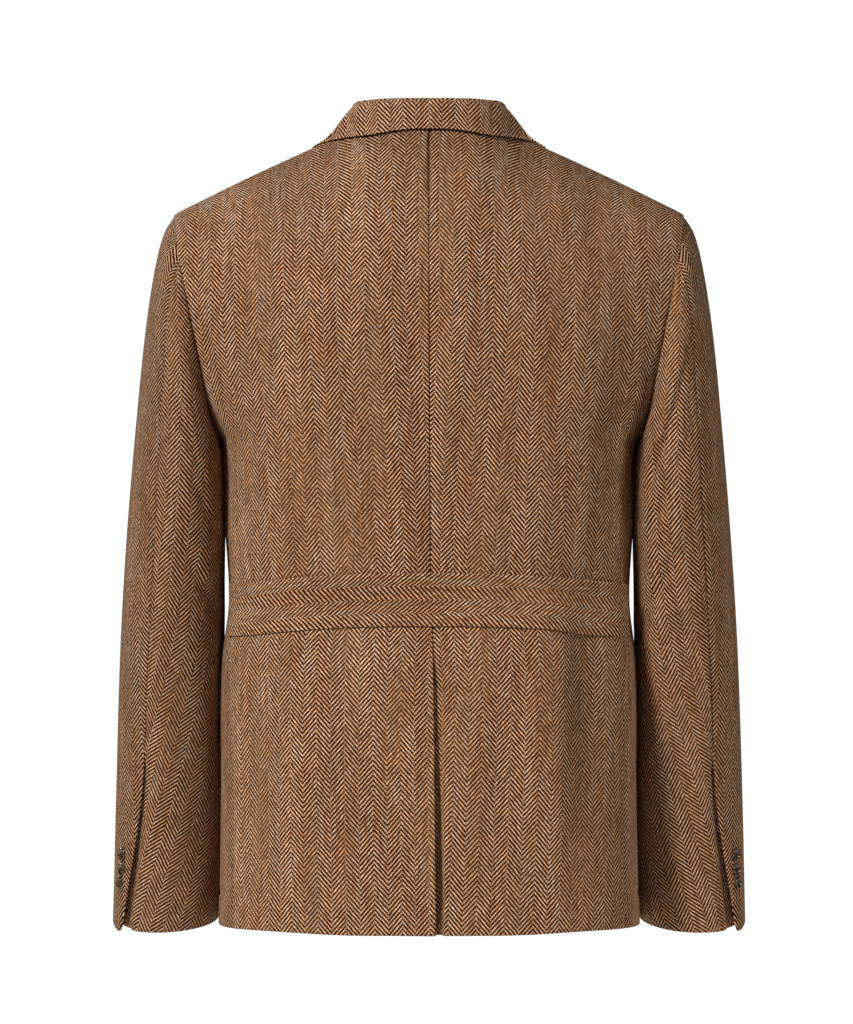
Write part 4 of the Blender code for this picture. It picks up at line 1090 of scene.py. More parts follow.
@lru_cache(None)
def sleeve(is_left, is_top):
    """Top or under sleeve, on the left arm whichever it is, cuff last."""
    downs = np.linspace(0.0, 1.0, SLEEVE_ROWS + 1) ** 1.1
    angles = np.array([sleeve_turns(down, is_top) for down in downs])
    grid = np.array([sleeve_ring(down, turns) for down, turns in zip(downs, angles)])
    round_it = np.arange(0.0, 360.0, 30.0)
    axis = [np.mean(sleeve_ring(down, round_it), axis=0) for down in downs]
    grid[0, :, 0] -= ARMHOLE_LAP
    for full in SLEEVE_FULLNESS:
        share = (trough((angles % 360.0 - full.angle) / full.half_angle)
                 * trough((grid[..., 2] - full.height) / full.half_height))
        grid[..., 0] -= full.depth * share * ease(0.0, 0.06, downs)[:, None]
    inside = np.repeat(np.array(axis)[:, None], SLEEVE_COLUMNS + 1, axis=1)
    vent, slit = ease(CUFF_VENT[0], 1.0, downs)[:, None], ease(*CUFF_VENT, downs)[:, None]
    edge = "last_column" if is_top else "first_column"
    from_vent = edge_distance(grid, edge)
    if is_top:
        corner = VENT_TONGUE * np.exp(-(from_vent / 22.0) ** 2)
        into = np.clip(1.0 - from_vent / TONGUE_ROUND, 0.0, 1.0)
        corner -= TONGUE_ROUND * (1.0 - np.sqrt(1.0 - into ** 2))
        grid[..., 2] -= corner * ease(0.93, 1.0, downs)[:, None]
    name = ("top" if is_top else "under") + "_sleeve_" + side_name(is_left)
    cloth = Cloth(name, grid, inside, not is_left)
    cloth.weave = sleeve_weave(grid, is_top)
    a, b = np.radians(angles) * SLEEVE_RADIUS, np.repeat(downs[:, None], angles.shape[1], axis=1)
    wrapped = [c._replace(a0=math.radians(c.a0) * SLEEVE_RADIUS, b0=c.b0 * SLEEVE_LENGTH,
                          a1=math.radians(c.a1) * SLEEVE_RADIUS, b1=c.b1 * SLEEVE_LENGTH)
               for c in SLEEVE_CREASES[side_name(is_left)]]
    calm = away_from(grid, ("first_column", "last_column", "first_row"), 12.0)
    out = crease_depth(wrapped, a, b * SLEEVE_LENGTH) * (0.25 + 0.75 * calm)
    # Painted shade on each sleeve, deepest on its inner side next to the body; the right under
    # sleeve gets a touch of painted light instead
    cloth.tone -= SLEEVE_PAINTED_SHADES[name] + INNER_SIDE_PAINTED_SHADE * trough((angles % 360.0 - 185.0) / 80.0)
    out += SLEEVE_WAVES * unevenness(a, b * SLEEVE_LENGTH, 7.0 + is_left + 2 * is_top) * calm
    for side in ("first_column", "last_column"):
        sewn = 1.0 - slit if side == edge else 1.0
        out -= SLEEVE_SEAM * sewn * near_edge(grid, side, SLEEVE_SEAM_SPREAD)
    if is_top:
        out += CUFF_FLAP * vent * np.exp(-(from_vent / CUFF_FLAP_SPREAD) ** 2)
    else:
        past_flat = np.maximum(from_vent - UNDERLAP_FLAT, 0.0)
        drop = UNDERLAP_DROP[0] + UNDERLAP_DROP[1] * vent
        out -= drop * slit * np.exp(-(past_flat / UNDERLAP_SPREAD) ** 2)
        out -= SLEEVE_LAP_DROP * (1.0 - slit) * np.exp(-(from_vent / SLEEVE_LAP_SPREAD) ** 2)
    cloth.press(out)
    cloth.thin_edge("first_row", 0.4, 6.0)
    return cloth


def nearest_outside(tree, point):
    """Nearest spot on a panel of the body and the panel's outward normal there."""
    spot, normal, _, _ = tree.find_nearest(Vector(point))
    if normal.dot(spot - Vector((0.0, 0.0, CHEST_HEIGHT))) < 0:
        normal = -normal
    return spot, normal


def laid_on(point, trees, need):
    """The point laid on the nearest panel in trees, standing off by need."""
    finds = [nearest_outside(tree, point) for tree in trees]
    spot, normal = min(finds, key=lambda find: (find[0] - Vector(point)).length)
    return np.array(spot + normal * need)


def clear_of(point, trees, need):
    """Move a point out until it stands clear of the panels in trees."""
    touching = 12.0
    for tree in trees * 2:
        spot, normal = nearest_outside(tree, point)
        away = Vector(point) - spot
        if away.dot(normal) < need and away.length < touching + need:
            point = np.array(spot + normal * need)
    return point


def half_belt():
    """Belt across both backs, made from their points and pressed down along its edges."""
    trees = {is_left: back(is_left).tree() for is_left in (True, False)}
    shares = np.linspace(-BELT_END, BELT_END, BELT_COLUMNS + 1)
    ups = np.linspace(0.0, 1.0, BELT_ROWS + 1)
    grid = np.zeros((len(ups), len(shares), 3))
    for r, up in enumerate(ups):
        for c, share in enumerate(shares):
            drop = BELT_END_DROP * ease(0.0, 1.0, abs(share))
            height = BELT_BOTTOM + (BELT_TOP - BELT_BOTTOM) * up - drop
            point = back_row(level_of(height), [abs(share)])[0]
            spot = np.array(trees[share >= 0].find_nearest(Vector(point))[0])
            grid[r, c] = spot * (1.0 if share >= 0 else MIRROR)
    for _ in range(2):
        grid[:, 1:-1] = (grid[:, :-2] + 2 * grid[:, 1:-1] + grid[:, 2:]) / 4
    cloth = Cloth("half_belt", grid, body_axis(grid), False)
    near = np.minimum(edge_distance(grid, "first_row"), edge_distance(grid, "last_row"))
    cloth.press(BELT_STAND + BELT_FULLNESS * ease(0.0, 7.0, near))
    run, up = (edge_distance(cloth.outer, edge) for edge in ("first_column", "first_row"))
    cloth.weave = np.stack((up + BELT_RIB_SHIFT, -run), axis=-1)
    for end in ("first_column", "last_column"):
        cloth.thin_edge(end, SEAM_THIN, 3.0)
    return cloth


def neck_seam(share):
    """Point of the left half of the neck seam: back neck, then the front's inner edge."""
    if share <= 0.5:
        neck_share = math.degrees(math.asin(NECK_X / SHOULDER_TIP[0])) / 90.0
        return back_row(2.0, [share / 0.5 * neck_share])[0]
    return front_row(2.0 - (2.0 - GORGE_LEVEL) * (share - 0.5) / 0.5, [0.0])[0]


def collar_section(share):
    """Points across the collar at a place along it: stand, fold and fall."""
    fold = np.array([along(COLLAR, "fold_" + axis, share) for axis in "xyz"])
    edge = np.array([along(COLLAR, "edge_" + axis, share) for axis in "xyz"])
    out = edge - fold
    out[2] = 0.0
    out /= np.linalg.norm(out)
    up = np.array((0.0, 0.0, 1.0))
    foot = neck_seam(share) - out * 2.0 + up * STAND_GAP
    foot[0] -= STAND_INSET * ease(0.55, 0.9, share)
    points = []
    near = fold - out * FOLD_RADIUS - up * FOLD_RADIUS
    for t in np.linspace(0.0, 1.0, STAND_STEPS, endpoint=False):
        points.append(foot + (near - foot) * t)
    for turn in np.radians(np.linspace(180.0, 0.0, FOLD_STEPS, endpoint=False)):
        points.append(fold - up * FOLD_RADIUS
                      + FOLD_RADIUS * (out * math.cos(turn) + up * math.sin(turn)))
    begin = fold + out * FOLD_RADIUS - up * FOLD_RADIUS
    bow = (begin + edge) / 2 + 3.0 * (out + up * 0.5) + up * along(COLLAR, "sag", share)
    notch = (begin + edge) / 2
    notch[2] = begin[2] + 2.7
    for t in np.linspace(0.0, 1.0, FALL_STEPS):
        bowed = begin * (1 - t) ** 2 + 2 * bow * t * (1 - t) + edge * t * t
        cut = begin + (notch - begin) * min(t / 0.5, 1.0) + (edge - notch) * max(2 * t - 1, 0.0)
        points.append(bowed + (cut - bowed) * ease(0.84, 1.0, share))
    return np.array(points)


def collar():
    """Collar with its stand inside and its fall lying over the backs, shoulders and fronts."""
    stations = np.linspace(0.0, 1.0, COLLAR_STATIONS + 1)
    lies = ease(0.0, 1.0, np.linspace(0.0, 1.0, FALL_STEPS))
    fall = STAND_STEPS + FOLD_STEPS
    halves = []
    for is_left in (True, False):
        trees = [back(is_left).tree(), front(is_left).tree()]
        half = np.array([collar_section(share) for share in stations])
        for r, c in np.ndindex(len(stations), FALL_STEPS):
            need = FALL_CLEAR + FALL_CLEAR_BEHIND * (1.0 - ease(0.3, 0.5, stations[r]))
            need -= FALL_PRESSED * lies[c] * trough((stations[r] - 0.62) / 0.3)
            point = half[r, fall + c]
            laid = laid_on(point, trees, need)
            half[r, fall + c] = clear_of(point + (laid - point) * lies[c], trees, need)
        halves.append(half)
    outer = np.concatenate((halves[1][:0:-1] * MIRROR, halves[0]), axis=0)
    for _ in range(8):
        smooth = (outer[:-2] + outer[2:] + 2 * outer[1:-1]) / 4
        outer[1:-1, STAND_STEPS:] = smooth[:, STAND_STEPS:]
        lower = outer[:, fall:]
        lower[:, 1:-1] = (lower[:, :-2] + lower[:, 2:] + 2 * lower[:, 1:-1]) / 4
    middle = outer.copy()
    middle[:] = np.mean(outer[:, (0, -1)], axis=1, keepdims=True)
    cloth = Cloth("collar", outer, middle, False)
    cloth.thin_edge("last_column", SEAM_THIN, 7.0)
    fold_line = outer[:, STAND_STEPS + FOLD_STEPS // 2]
    run = summed(np.linalg.norm(np.diff(fold_line, axis=0), axis=-1), 0)
    run -= run[COLLAR_STATIONS]
    up = edge_distance(outer, "last_column")
    weave = np.stack((np.repeat(run[:, None], outer.shape[1], axis=1), up), axis=-1)
    middle_part = np.abs(run) < 60.0
    weave[:, fall:] = settled(flatten(outer[:, fall:], weave[:, fall:]), weave[:, fall:],
                              middle_part)
    cloth.weave = weave
    return cloth


def lapel(is_left):
    """Lapel rolled back over its front, from the break point up to the gorge."""
    tree = front(is_left).tree()
    ups = np.linspace(0.1, 1.0, LAPEL_ROWS + 1)
    across = np.linspace(0.0, 1.0, LAPEL_COLUMNS + 1)
    base = np.zeros((len(ups), len(across), 3))
    for r, s in enumerate(ups):
        roll_z = BREAK_POINT + (GORGE - BREAK_POINT) * s
        roll_x = front_edge_x(roll_z)
        edge_x = -FRONT_LAP + (LAPEL_TIP_X + FRONT_LAP) * s ** LAPEL_BELLY
        edge_z = BREAK_POINT + LAPEL_RISE * s
        for c, t in enumerate(across):
            notch = min(GORGE_RISE + (NOTCH_RISE - GORGE_RISE) * t / NOTCH_AT,
                        NOTCH_RISE * (1.0 - t) / (1.0 - NOTCH_AT))
            x = roll_x + (edge_x - roll_x) * t
            z = roll_z + (edge_z - roll_z) * t + notch * s ** NOTCH_FADE
            start = Vector((max(x, front_edge_x(z) + 0.6), FAR_AHEAD, z))
            spot, _, _, _ = tree.ray_cast(start, BACKWARDS)
            if spot is None:
                spot, _, _, _ = tree.find_nearest(Vector((start.x, base[r - 1, c][1], z)))
            base[r, c] = spot
    for _ in range(4):
        base[1:-1, 1:-1] = (base[:-2, 1:-1] + base[2:, 1:-1] + base[1:-1, :-2] + base[1:-1, 2:]) / 4
    cloth = Cloth("lapel_" + side_name(is_left), base, body_axis(base), not is_left)
    height = base[..., 2]
    lift = LAPEL_GAP + LAPEL_ROLL * ease(CHEST_HEIGHT - 20.0, GORGE - 15.0, height)
    belly = LAPEL_FULLNESS * np.sin(np.pi * across) * ease(BREAK_POINT, GORGE, height)
    lift *= 1.0 - ease(0.3, 0.7, across)
    cloth.press(lift + LAPEL_STAND + belly)
    cloth.weave = weave_places(cloth.outer, cloth.normals, LAPEL_COLUMNS, np.zeros(len(ups)))
    return cloth


@lru_cache(None)
def pocket(is_left):
    """Patch pocket laid on a front, with round lower corners and a slightly open mouth."""
    tree = front(is_left).tree()
    grid = np.zeros((POCKET_ROWS + 1, POCKET_COLUMNS + 1, 3))
    for r, up in enumerate(np.linspace(0.0, 1.0, POCKET_ROWS + 1)):
        height = POCKET_HEIGHTS[0] + (POCKET_HEIGHTS[1] - POCKET_HEIGHTS[0]) * up
        for c, across in enumerate(np.linspace(0.0, 1.0, POCKET_COLUMNS + 1)):
            angle = POCKET_ANGLES[0] + (POCKET_ANGLES[1] - POCKET_ANGLES[0]) * across
            side = min(across, 1.0 - across) * 4.0
            lift = POCKET_CORNER * max(0.0, 1.0 - side) ** 2 * max(0.0, 1.0 - 3.5 * up)
            level = level_of(height + lift)
            point = front_row(level, [angle / (180.0 - side_seam(level))])[0]
            grid[r, c] = tree.find_nearest(Vector(point))[0]
    cloth = Cloth("patch_pocket_" + side_name(is_left), grid, body_axis(grid), not is_left)
    near = np.minimum.reduce([edge_distance(grid, edge)
                              for edge in ("first_column", "last_column", "first_row")])
    mouth = POCKET_MOUTH * near_edge(grid, "last_row", 34.0)
    cloth.press(POCKET_STAND + (POCKET_FULLNESS + mouth) * ease(0.0, 14.0, near))
    cloth.weave = weave_places(cloth.outer, cloth.normals, POCKET_COLUMNS // 2,
                               np.full(POCKET_ROWS + 1, POCKET_RIB_SHIFT))
    return cloth


def button_frame(node):
    """Middle of a button's back, its outward axis and its radius, from its solid."""
    points = np.array([vertex.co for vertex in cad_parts[node].data.vertices])
    middle = (points.min(axis=0) + points.max(axis=0)) / 2
    axis = np.linalg.svd(points - points.mean(axis=0), full_matrices=False)[2][2]
    towards = np.array((0.0, -1.0, 0.0))
    if node.startswith("cuff"):
        arm = (math.copysign(CUFF_MIDDLE[0], middle[0]), CUFF_MIDDLE[1], middle[2])
        towards = middle - np.array(arm)
    if np.dot(axis, towards) < 0:
        axis = -axis
    heights = (points - middle) @ axis
    flat = points - middle - np.outer(heights, axis)
    return middle + axis * heights.min(), axis, np.linalg.norm(flat, axis=1).max()


# Middle of a cuff, sideways and ahead, in metres
CUFF_MIDDLE = (0.236, -0.045)

# Sections of a turned button and of its holes, as shares of its radius and heights in millimetres
BUTTON_PROFILE = ((0.3, 1.5), (0.5, 1.62), (0.6, 1.85), (0.68, 2.25), (0.76, 2.5), (0.86, 2.52),
                  (0.94, 2.3), (0.985, 1.9), (1.0, 1.5), (0.97, 1.0), (0.88, 0.55), (0.7, 0.35),
                  (0.4, 0.3))
HOLE_PROFILE = ((0.1, -2.0), (0.1, 4.0))
HOLE_REACH = 0.23
HOLE_TURNS = (45.0, 135.0, 225.0, 315.0)
BUTTON_SIDES, HOLE_SIDES = 40, 14
THREAD_HEIGHT = 1.75
THREAD_POINTS = 7
BUTTONHOLE = (9.0, 23.0)

# Spacing, length and width of the stitches of buttons and buttonholes, in metres
BUTTON_STITCH = (0.0004, 0.0011, 0.0005)
BUTTONHOLE_STITCH = (0.0008, 0.0021, 0.0009)


def spokes(axis):
    """Two directions square to an axis, the first one level."""
    first = np.cross(axis, (0.0, 0.0, 1.0))
    first /= np.linalg.norm(first)
    return first, np.cross(axis, first)


def turned(base, axis, radius, profile, sides):
    """Points and faces of a solid turned about an axis."""
    first, second = spokes(axis)
    points, faces = [], []
    for share, height in profile:
        for turn in np.linspace(0.0, 2 * math.pi, sides, endpoint=False):
            spoke = first * math.cos(turn) + second * math.sin(turn)
            points.append(base + spoke * radius * share + axis * height * MM)
    for ring, k in np.ndindex(len(profile) - 1, sides):
        a, b = ring * sides + k, ring * sides + (k + 1) % sides
        faces.append((a, a + sides, b + sides, b))
    numbers = range(len(points))
    return points, faces + [tuple(numbers[:sides]), tuple(numbers[:-sides - 1:-1])]


def joined_mesh(name, solids):
    """One mesh of several solids, each given as points and faces."""
    points, faces = [], []
    for its_points, its_faces in solids:
        faces += [tuple(len(points) + corner for corner in face) for face in its_faces]
        points += [list(point) for point in its_points]
    mesh = bpy.data.meshes.new(name)
    mesh.from_pydata(points, [], faces)
    return mesh


def button_mesh(node):
    """Turned button with four sewing holes drilled through its dish."""
    base, axis, radius = button_frame(node)
    first, second = spokes(axis)
    disc = joined_mesh(node, [turned(base, axis, radius, BUTTON_PROFILE, BUTTON_SIDES)])
    drills = []
    for turn in np.radians(HOLE_TURNS):
        middle = base + (first * math.cos(turn) + second * math.sin(turn)) * radius * HOLE_REACH
        drills.append(turned(middle, axis, radius, HOLE_PROFILE, HOLE_SIDES))
    return bored(disc, joined_mesh(node + "_drill", drills))


def bored(solid_mesh, drill_mesh):
    """The solid with the drill's shape taken away."""
    made = []
    for mesh in (solid_mesh, drill_mesh):
        shape = bmesh.new()
        shape.from_mesh(mesh)
        bmesh.ops.recalc_face_normals(shape, faces=shape.faces)
        shape.to_mesh(mesh)
        shape.free()
        holder = bpy.data.objects.new(mesh.name, mesh)
        bpy.context.scene.collection.objects.link(holder)
        made.append(holder)
    cut = made[0].modifiers.new("holes", "BOOLEAN")
    cut.operation, cut.object, cut.solver = "DIFFERENCE", made[1], "EXACT"
    graph = bpy.context.evaluated_depsgraph_get()
    mesh = bpy.data.meshes.new_from_object(made[0].evaluated_get(graph))
    for holder in made:
        bpy.data.objects.remove(holder)
    mesh.shade_smooth()
    mesh.set_sharp_from_angle(angle=math.radians(40.0))
    return mesh


def stitch_tree():
    """Node group that sews stitches along the edges of a path mesh."""
    tree = bpy.data.node_groups.new("sewn_stitches", "GeometryNodeTree")
    tree.interface.new_socket("Path", in_out="INPUT", socket_type="NodeSocketGeometry")
    for name in ("Spacing", "Length", "Width"):
        socket = tree.interface.new_socket(name, in_out="INPUT", socket_type="NodeSocketFloat")
        socket.subtype = "DISTANCE"
    tree.interface.new_socket("Thread", in_out="INPUT", socket_type="NodeSocketMaterial")
    tree.interface.new_socket("Stitches", in_out="OUTPUT", socket_type="NodeSocketGeometry")
    given = add(tree, "NodeGroupInput")
    line = add(tree, "GeometryNodeMeshToCurve", {"Mesh": given.outputs["Path"]})
    points = add(tree, "GeometryNodeCurveToPoints",
                 {"Curve": line, "Length": given.outputs["Spacing"]}, mode="LENGTH")
    out = add(tree, "GeometryNodeInputNamedAttribute", {"Name": "out"}, data_type="FLOAT_VECTOR")
    run = add(tree, "GeometryNodeInputNamedAttribute", {"Name": "run"}, data_type="FLOAT_VECTOR")
    turn = add(tree, "FunctionNodeAxesToRotation", (out, run), primary_axis="Z", secondary_axis="X")
    size = add(tree, "ShaderNodeCombineXYZ", (given.outputs["Length"], given.outputs["Width"],
                                              given.outputs["Width"]))
    bead = add(tree, "GeometryNodeMeshUVSphere", {"Segments": 6, "Rings": 5, "Radius": 0.5})
    sewn = add(tree, "GeometryNodeInstanceOnPoints", {
        "Points": points, "Instance": bead, "Rotation": turn, "Scale": size})
    real = add(tree, "GeometryNodeRealizeInstances", (sewn,))
    smooth = add(tree, "GeometryNodeSetShadeSmooth", (real,))
    dyed = add(tree, "GeometryNodeSetMaterial", {"Geometry": smooth,
                                                 "Material": given.outputs["Thread"]})
    add(tree, "NodeGroupOutput", (dyed,))
    return tree


def path_mesh(name, lines):
    """Mesh of edges from lines of points, with the way out of the cloth and the stitches' way."""
    points, edges, outs, runs = [], [], [], []
    for line, out, run in lines:
        start = len(points)
        points += [list(point) for point in line]
        edges += [(start + k, start + k + 1) for k in range(len(line) - 1)]
        outs.append(out)
        runs.append(run)
    mesh = bpy.data.meshes.new(name)
    mesh.from_pydata(points, edges, [])
    for label, values in (("out", outs), ("run", runs)):
        layer = mesh.attributes.new(label, "FLOAT_VECTOR", "POINT")
        layer.data.foreach_set("vector", np.concatenate(values).astype(np.float32).ravel())
    return mesh


def sew(name, lines, spacing, length, width):
    """Stitches along lines, as a plain mesh made by the node group."""
    holder = bpy.data.objects.new(name, path_mesh(name, lines))
    bpy.context.scene.collection.objects.link(holder)
    nodes = holder.modifiers.new("stitches", "NODES")
    nodes.node_group = bpy.data.node_groups.get("sewn_stitches") or stitch_tree()
    values = {"Spacing": spacing, "Length": length, "Width": width, "Thread": thread()}
    for item in nodes.node_group.interface.items_tree:
        if item.in_out == "INPUT" and item.name in values:
            nodes[item.identifier] = values[item.name]
    bpy.context.view_layer.update()
    graph = bpy.context.evaluated_depsgraph_get()
    mesh = bpy.data.meshes.new_from_object(holder.evaluated_get(graph))
    bpy.data.objects.remove(holder)
    return mesh


def edge_line(cloth, edge, inset, part=(0.0, 1.0)):
    """Line on a cloth piece at a distance in from one edge, in the model's place."""
    distance = edge_distance(cloth.outer, edge)
    axis = 1 if edge.endswith("column") else 0
    index = np.argmin(np.abs(distance - inset), axis=axis)
    count = len(index)
    keep = slice(int(part[0] * (count - 1)), int(part[1] * (count - 1)) + 1)
    pick = (np.arange(count), index) if axis == 1 else (index, np.arange(count))
    line, out = cloth.outer[pick][keep], cloth.normals[pick][keep]
    line = (line - (0.0, 0.0, SHOULDER_LINE)) * MM
    if cloth.mirrored:
        line, out = line * MIRROR, out * MIRROR
    return line, out, np.gradient(line, axis=0)


def button_threads(node):
    """Lines of the two threads that cross a button's dish from hole to hole."""
    base, axis, radius = button_frame(node)
    first, second = spokes(axis)
    reach = radius * HOLE_REACH * math.sqrt(0.5)
    lines = []
    for side in (-1.0, 1.0):
        middle = base + axis * THREAD_HEIGHT * MM + second * side * reach
        line = [middle + first * reach * t for t in np.linspace(-1.2, 1.2, THREAD_POINTS)]
        lines.append((np.array(line), np.tile(axis, (THREAD_POINTS, 1)),
                      np.tile(first, (THREAD_POINTS, 1))))
    return lines


def buttonhole(node):
    """Lines of the worked edges of a buttonhole, where it shows beside its front button."""
    tree = front(True).tree()
    height = button_frame(node)[0][2] / MM + SHOULDER_LINE
    lines = []
    for side in (-1.0, 1.0):
        line, out = [], []
        for x in np.linspace(*BUTTONHOLE, 15):
            start = Vector((x, FAR_AHEAD, height + side))
            spot, normal, _, _ = tree.ray_cast(start, BACKWARDS)
            line.append(spot)
            out.append(normal if normal.y < 0 else -normal)
        line = (np.array(line) - (0.0, 0.0, SHOULDER_LINE)) * MM
        lines.append((line, np.array(out), np.repeat([(0.0, 0.0, 1.0)], len(line), axis=0)))
    return lines


class CoatSizes(bpy.types.PropertyGroup):
    """Sizes of the cloth and its sewing."""
    cloth: FloatProperty(
        name="Cloth", description="Thickness of the cloth", default=0.0018, unit="LENGTH")
    stitch: FloatProperty(
        name="Stitch", description="Length of a stitch", default=0.0030, unit="LENGTH")
    stitch_gap: FloatProperty(
        name="Stitch Spacing", description="From one stitch to the next", default=0.0046,
        unit="LENGTH")
    thread: FloatProperty(
        name="Thread", description="Thickness of the thread", default=0.0006, unit="LENGTH")
    edge_inset: FloatProperty(
        name="Edge Inset", description="From an edge to its stitching", default=0.0055,
        unit="LENGTH")
    floor_drop: FloatProperty(
        name="Floor Drop", description="From the hem to the floor", default=0.32, unit="LENGTH")


class CoatWeave(bpy.types.PropertyGroup):
    """Sizes of the herringbone."""
    rib: FloatProperty(
        name="Rib", description="Width of a herringbone rib", default=0.0121, unit="LENGTH")
    pitch: FloatProperty(
        name="Pitch", description="Height from one slanting line to the next", default=0.00432,
        unit="LENGTH")
    yarn: FloatProperty(
        name="Yarn", description="Width of a warp yarn as drawn", default=0.0012, unit="LENGTH")
    slope: FloatProperty(name="Slope", description="Rise of the slanting lines", default=1.13)
    steps: FloatProperty(
        name="Steps", description="How far the lines step from yarn to yarn", default=0.6,
        subtype="FACTOR")
    dark_share: FloatProperty(
        name="Dark Share", description="Half width of the dark lines, of the pitch", default=0.28,
        subtype="FACTOR")
    soft: FloatProperty(
        name="Softness", description="Softness of the lines' edges", default=0.13,
        subtype="FACTOR")
    yarn_shade: FloatProperty(
        name="Yarn Shade", description="Darkening between yarns", default=0.12, subtype="FACTOR")
    nap: FloatProperty(
        name="Nap", description="How far a raised nap hides the pattern in patches", default=0.3,
        subtype="FACTOR")
    beads: FloatProperty(
        name="Beads", description="How uneven the floats of yarn are in tone", default=0.3,
        subtype="FACTOR")


class CoatColours(bpy.types.PropertyGroup):
    """Colours as sRGB hex values."""
    tan: StringProperty(name="Tan", description="Pale yarn", default="#F3CDA6")
    gold: StringProperty(name="Gold", description="Golden fleck", default="#F2CE98")
    rust: StringProperty(name="Rust", description="Reddish fleck", default="#DFAF88")
    brown: StringProperty(name="Brown", description="Dark yarn", default="#4A1800")
    dark: StringProperty(name="Dark", description="Darkest yarn", default="#280800")
    # Painted shade: the colour of pale yarn in shade where its float dips under a dark one
    edge: StringProperty(
        name="Edge", description="Where a pale float dips under a dark one", default="#8E4F19")
    worn: StringProperty(
        name="Worn", description="Cloth where the raised nap blends its yarns", default="#8C6039")
    nap: StringProperty(name="Nap", description="Sheen of the nap", default="#8A7444")
    thread: StringProperty(name="Thread", description="Sewing thread", default="#7A5230")
    horn: StringProperty(name="Horn", description="Dark horn", default="#1F150A")
    horn_pale: StringProperty(name="Horn Streak", description="Paler horn", default="#8A6E45")


class COAT_OT_backs(bpy.types.Operator):
    """Make both backs"""
    bl_idname = "coat.backs"
    bl_label = "Backs"

    def execute(self, context):
        for is_left in (True, False):
            add_cloth(back(is_left))
        return {"FINISHED"}


class COAT_OT_fronts(bpy.types.Operator):
    """Make both fronts"""
    bl_idname = "coat.fronts"
    bl_label = "Fronts"

    def execute(self, context):
        for is_left in (True, False):
            add_cloth(front(is_left))
        return {"FINISHED"}


class COAT_OT_sleeves(bpy.types.Operator):
    """Make the top and under sleeves"""
    bl_idname = "coat.sleeves"
    bl_label = "Sleeves"

    def execute(self, context):
        for is_left in (True, False):
            for is_top in (True, False):
                add_cloth(sleeve(is_left, is_top))
        return {"FINISHED"}


class COAT_OT_half_belt(bpy.types.Operator):
    """Make the half belt"""
    bl_idname = "coat.half_belt"
    bl_label = "Half Belt"

    def execute(self, context):
        add_cloth(half_belt())
        return {"FINISHED"}


class COAT_OT_collar(bpy.types.Operator):
    """Make the collar"""
    bl_idname = "coat.collar"
    bl_label = "Collar"

    def execute(self, context):
        add_cloth(collar())
        return {"FINISHED"}


class COAT_OT_lapels(bpy.types.Operator):
    """Make both lapels"""
    bl_idname = "coat.lapels"
    bl_label = "Lapels"

    def execute(self, context):
        for is_left in (True, False):
            add_cloth(lapel(is_left))
        return {"FINISHED"}


class COAT_OT_pockets(bpy.types.Operator):
    """Make both patch pockets"""
    bl_idname = "coat.pockets"
    bl_label = "Patch Pockets"

    def execute(self, context):
        for is_left in (True, False):
            add_cloth(pocket(is_left))
        return {"FINISHED"}


class COAT_OT_buttons(bpy.types.Operator):
    """Make the cuff and front buttons"""
    bl_idname = "coat.buttons"
    bl_label = "Buttons"

    def execute(self, context):
        for node in BUTTONS:
            add_piece(node + "_horn", button_mesh(node), horn(), "horn", node)
        return {"FINISHED"}


class COAT_OT_stitching(bpy.types.Operator):
    """Sew the pockets, the buttons and the front buttonholes"""
    bl_idname = "coat.stitching"
    bl_label = "Stitching"

    def execute(self, context):
        sizes = context.scene.coat_sizes
        seams = [edge_line(pocket(is_left), edge, sizes.edge_inset / MM, part)
                 for is_left in (True, False)
                 for edge, part in (("first_column", (0.1, 1.0)), ("last_column", (0.1, 1.0)),
                                    ("first_row", (0.05, 0.95)))]
        threads = [line for node in BUTTONS for line in button_threads(node)]
        holes = [line for node in BUTTONS if node.startswith("front")
                 for line in buttonhole(node)]
        pocket_stitch = (sizes.stitch_gap, sizes.stitch, sizes.thread)
        for name, lines, stitch in (("pocket_stitching", seams, pocket_stitch),
                                    ("button_threads", threads, BUTTON_STITCH),
                                    ("buttonhole_stitching", holes, BUTTONHOLE_STITCH)):
            add_piece(name, sew(name, lines, *stitch), thread(), "tweed")
        return {"FINISHED"}


class COAT_OT_stage(bpy.types.Operator):
    """Make the floor, lights and camera"""
    bl_idname = "coat.stage"
    bl_label = "Stage"

    def execute(self, context):
        scene = context.scene
        floor_z = CAD_BOX[0][2] - scene.coat_sizes.floor_drop
        mesh = bpy.data.meshes.new("floor")
        turns = np.linspace(0.0, 2 * math.pi, 96, endpoint=False)
        rim = [(FLOOR_RADIUS * math.cos(t), FLOOR_RADIUS * math.sin(t), floor_z) for t in turns]
        mesh.from_pydata(rim, [], [tuple(range(len(rim)))])
        material, tree = new_material("pale_studio_floor")
        shader = add(tree, "ShaderNodeBsdfPrincipled", {"Base Color": to_linear(FLOOR_COLOUR),
                                                        "Roughness": 0.8})
        add(tree, "ShaderNodeOutputMaterial", (shader,))
        mesh.materials.append(material)
        floor = bpy.data.objects.new("floor", mesh)
        scene.collection.objects.link(floor)
        add_lights(scene)
        add_camera(scene)
        return {"FINISHED"}


# Soft boxes: place, size and power in watts; all of them point at the middle of the coat
SOFT_BOXES = table_of(
    "name x y z size power",
    ("key", 2.45, 3.22, 2.3, 1.0, 186.0),
    ("fill", -3.9, 1.5, 0.5, 1.6, 40.0),
    ("front", 2.1, -3.1, 1.9, 1.4, 92.0),
    ("top", 0.0, 0.4, 2.6, 1.6, 4.0),
)
SURROUND_LIGHT, SURROUND_SEEN = 0.02, 1.05
FLOOR_COLOUR = "#F2F0EC"
FLOOR_RADIUS = 2.0
CAMERA_DISTANCE = 5.0
FRAME_HEIGHT = 0.9114
FRAME_MIDDLE = (0.0022, -0.328)


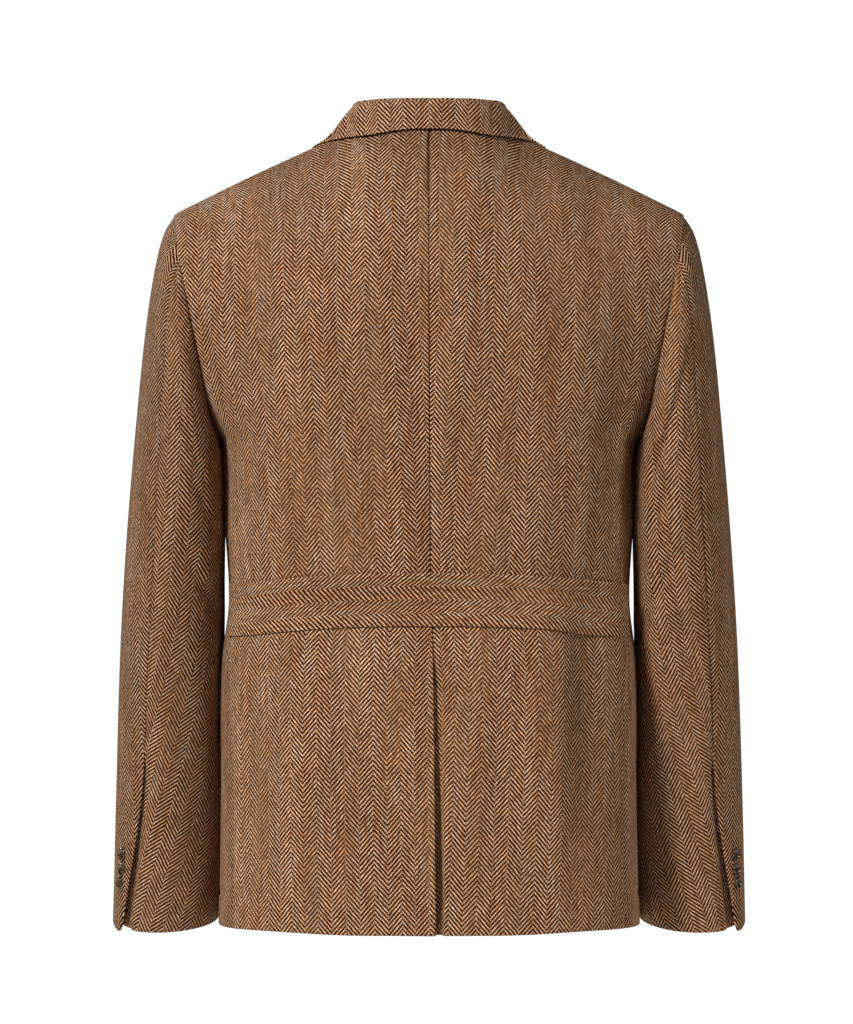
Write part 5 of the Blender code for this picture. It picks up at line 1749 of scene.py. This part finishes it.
def add_lights(scene):
    """Large soft boxes, and a white surround that is dimmer for light than for the eye."""
    aim = Vector((0.0, 0.0, FRAME_MIDDLE[1]))
    for box in SOFT_BOXES:
        light = bpy.data.lights.new(box.name, "AREA")
        light.shape, light.size, light.energy = "DISK", box.size, box.power
        lamp = bpy.data.objects.new(box.name, light)
        lamp.location = (box.x, box.y, box.z)
        lamp.rotation_euler = (aim - lamp.location).to_track_quat("-Z", "Y").to_euler()
        scene.collection.objects.link(lamp)
    world = bpy.data.worlds.new("white_surround")
    world.use_nodes = True
    tree = world.node_tree
    tree.nodes.clear()
    seen = add(tree, "ShaderNodeLightPath")
    dim, bright = (add(tree, "ShaderNodeBackground", (to_linear("#FFFFFF"), strength))
                   for strength in (SURROUND_LIGHT, SURROUND_SEEN))
    mixed = add(tree, "ShaderNodeMixShader", (seen.outputs["Is Camera Ray"], dim, bright))
    add(tree, "ShaderNodeOutputWorld", (mixed,))
    scene.world = world
    scene.view_settings.view_transform = "Standard"


def add_camera(scene):
    """Camera straight behind the coat, as far off as the photograph's perspective asks."""
    lens = bpy.data.cameras.new("camera")
    lens.lens = lens.sensor_width * CAMERA_DISTANCE / FRAME_HEIGHT
    camera = bpy.data.objects.new("camera", lens)
    camera.location = (FRAME_MIDDLE[0], CAMERA_DISTANCE, FRAME_MIDDLE[1])
    camera.rotation_euler = (math.radians(90.0), 0.0, math.radians(180.0))
    scene.collection.objects.link(camera)
    scene.camera = camera


class COAT_PT_panel(bpy.types.Panel):
    """Sizes and colours of the coat, and the steps that make it"""
    bl_idname = "COAT_PT_panel"
    bl_label = "Sport Coat"
    bl_space_type = "VIEW_3D"
    bl_region_type = "UI"
    bl_category = "Coat"

    def draw(self, context):
        for group in (context.scene.coat_sizes, context.scene.coat_weave,
                      context.scene.coat_colours):
            for name in group.__annotations__:
                self.layout.prop(group, name)
        for step in STEPS:
            self.layout.operator(step.bl_idname)


STEPS = (COAT_OT_stage, COAT_OT_backs, COAT_OT_fronts, COAT_OT_sleeves, COAT_OT_half_belt,
         COAT_OT_collar, COAT_OT_lapels, COAT_OT_pockets, COAT_OT_buttons, COAT_OT_stitching)
GROUPS = (("coat_sizes", CoatSizes), ("coat_weave", CoatWeave), ("coat_colours", CoatColours))


def register():
    for name, group in GROUPS:
        bpy.utils.register_class(group)
        setattr(bpy.types.Scene, name, PointerProperty(type=group))
    for step in STEPS + (COAT_PT_panel,):
        bpy.utils.register_class(step)


def unregister():
    for step in (COAT_PT_panel,) + STEPS[::-1]:
        bpy.utils.unregister_class(step)
    for name, group in GROUPS[::-1]:
        delattr(bpy.types.Scene, name)
        bpy.utils.unregister_class(group)


def main():
    """Register the steps and make the coat."""
    register()
    for step in STEPS:
        section, name = step.bl_idname.split(".")
        getattr(getattr(bpy.ops, section), name)()


if __name__ == "__main__":
    main()
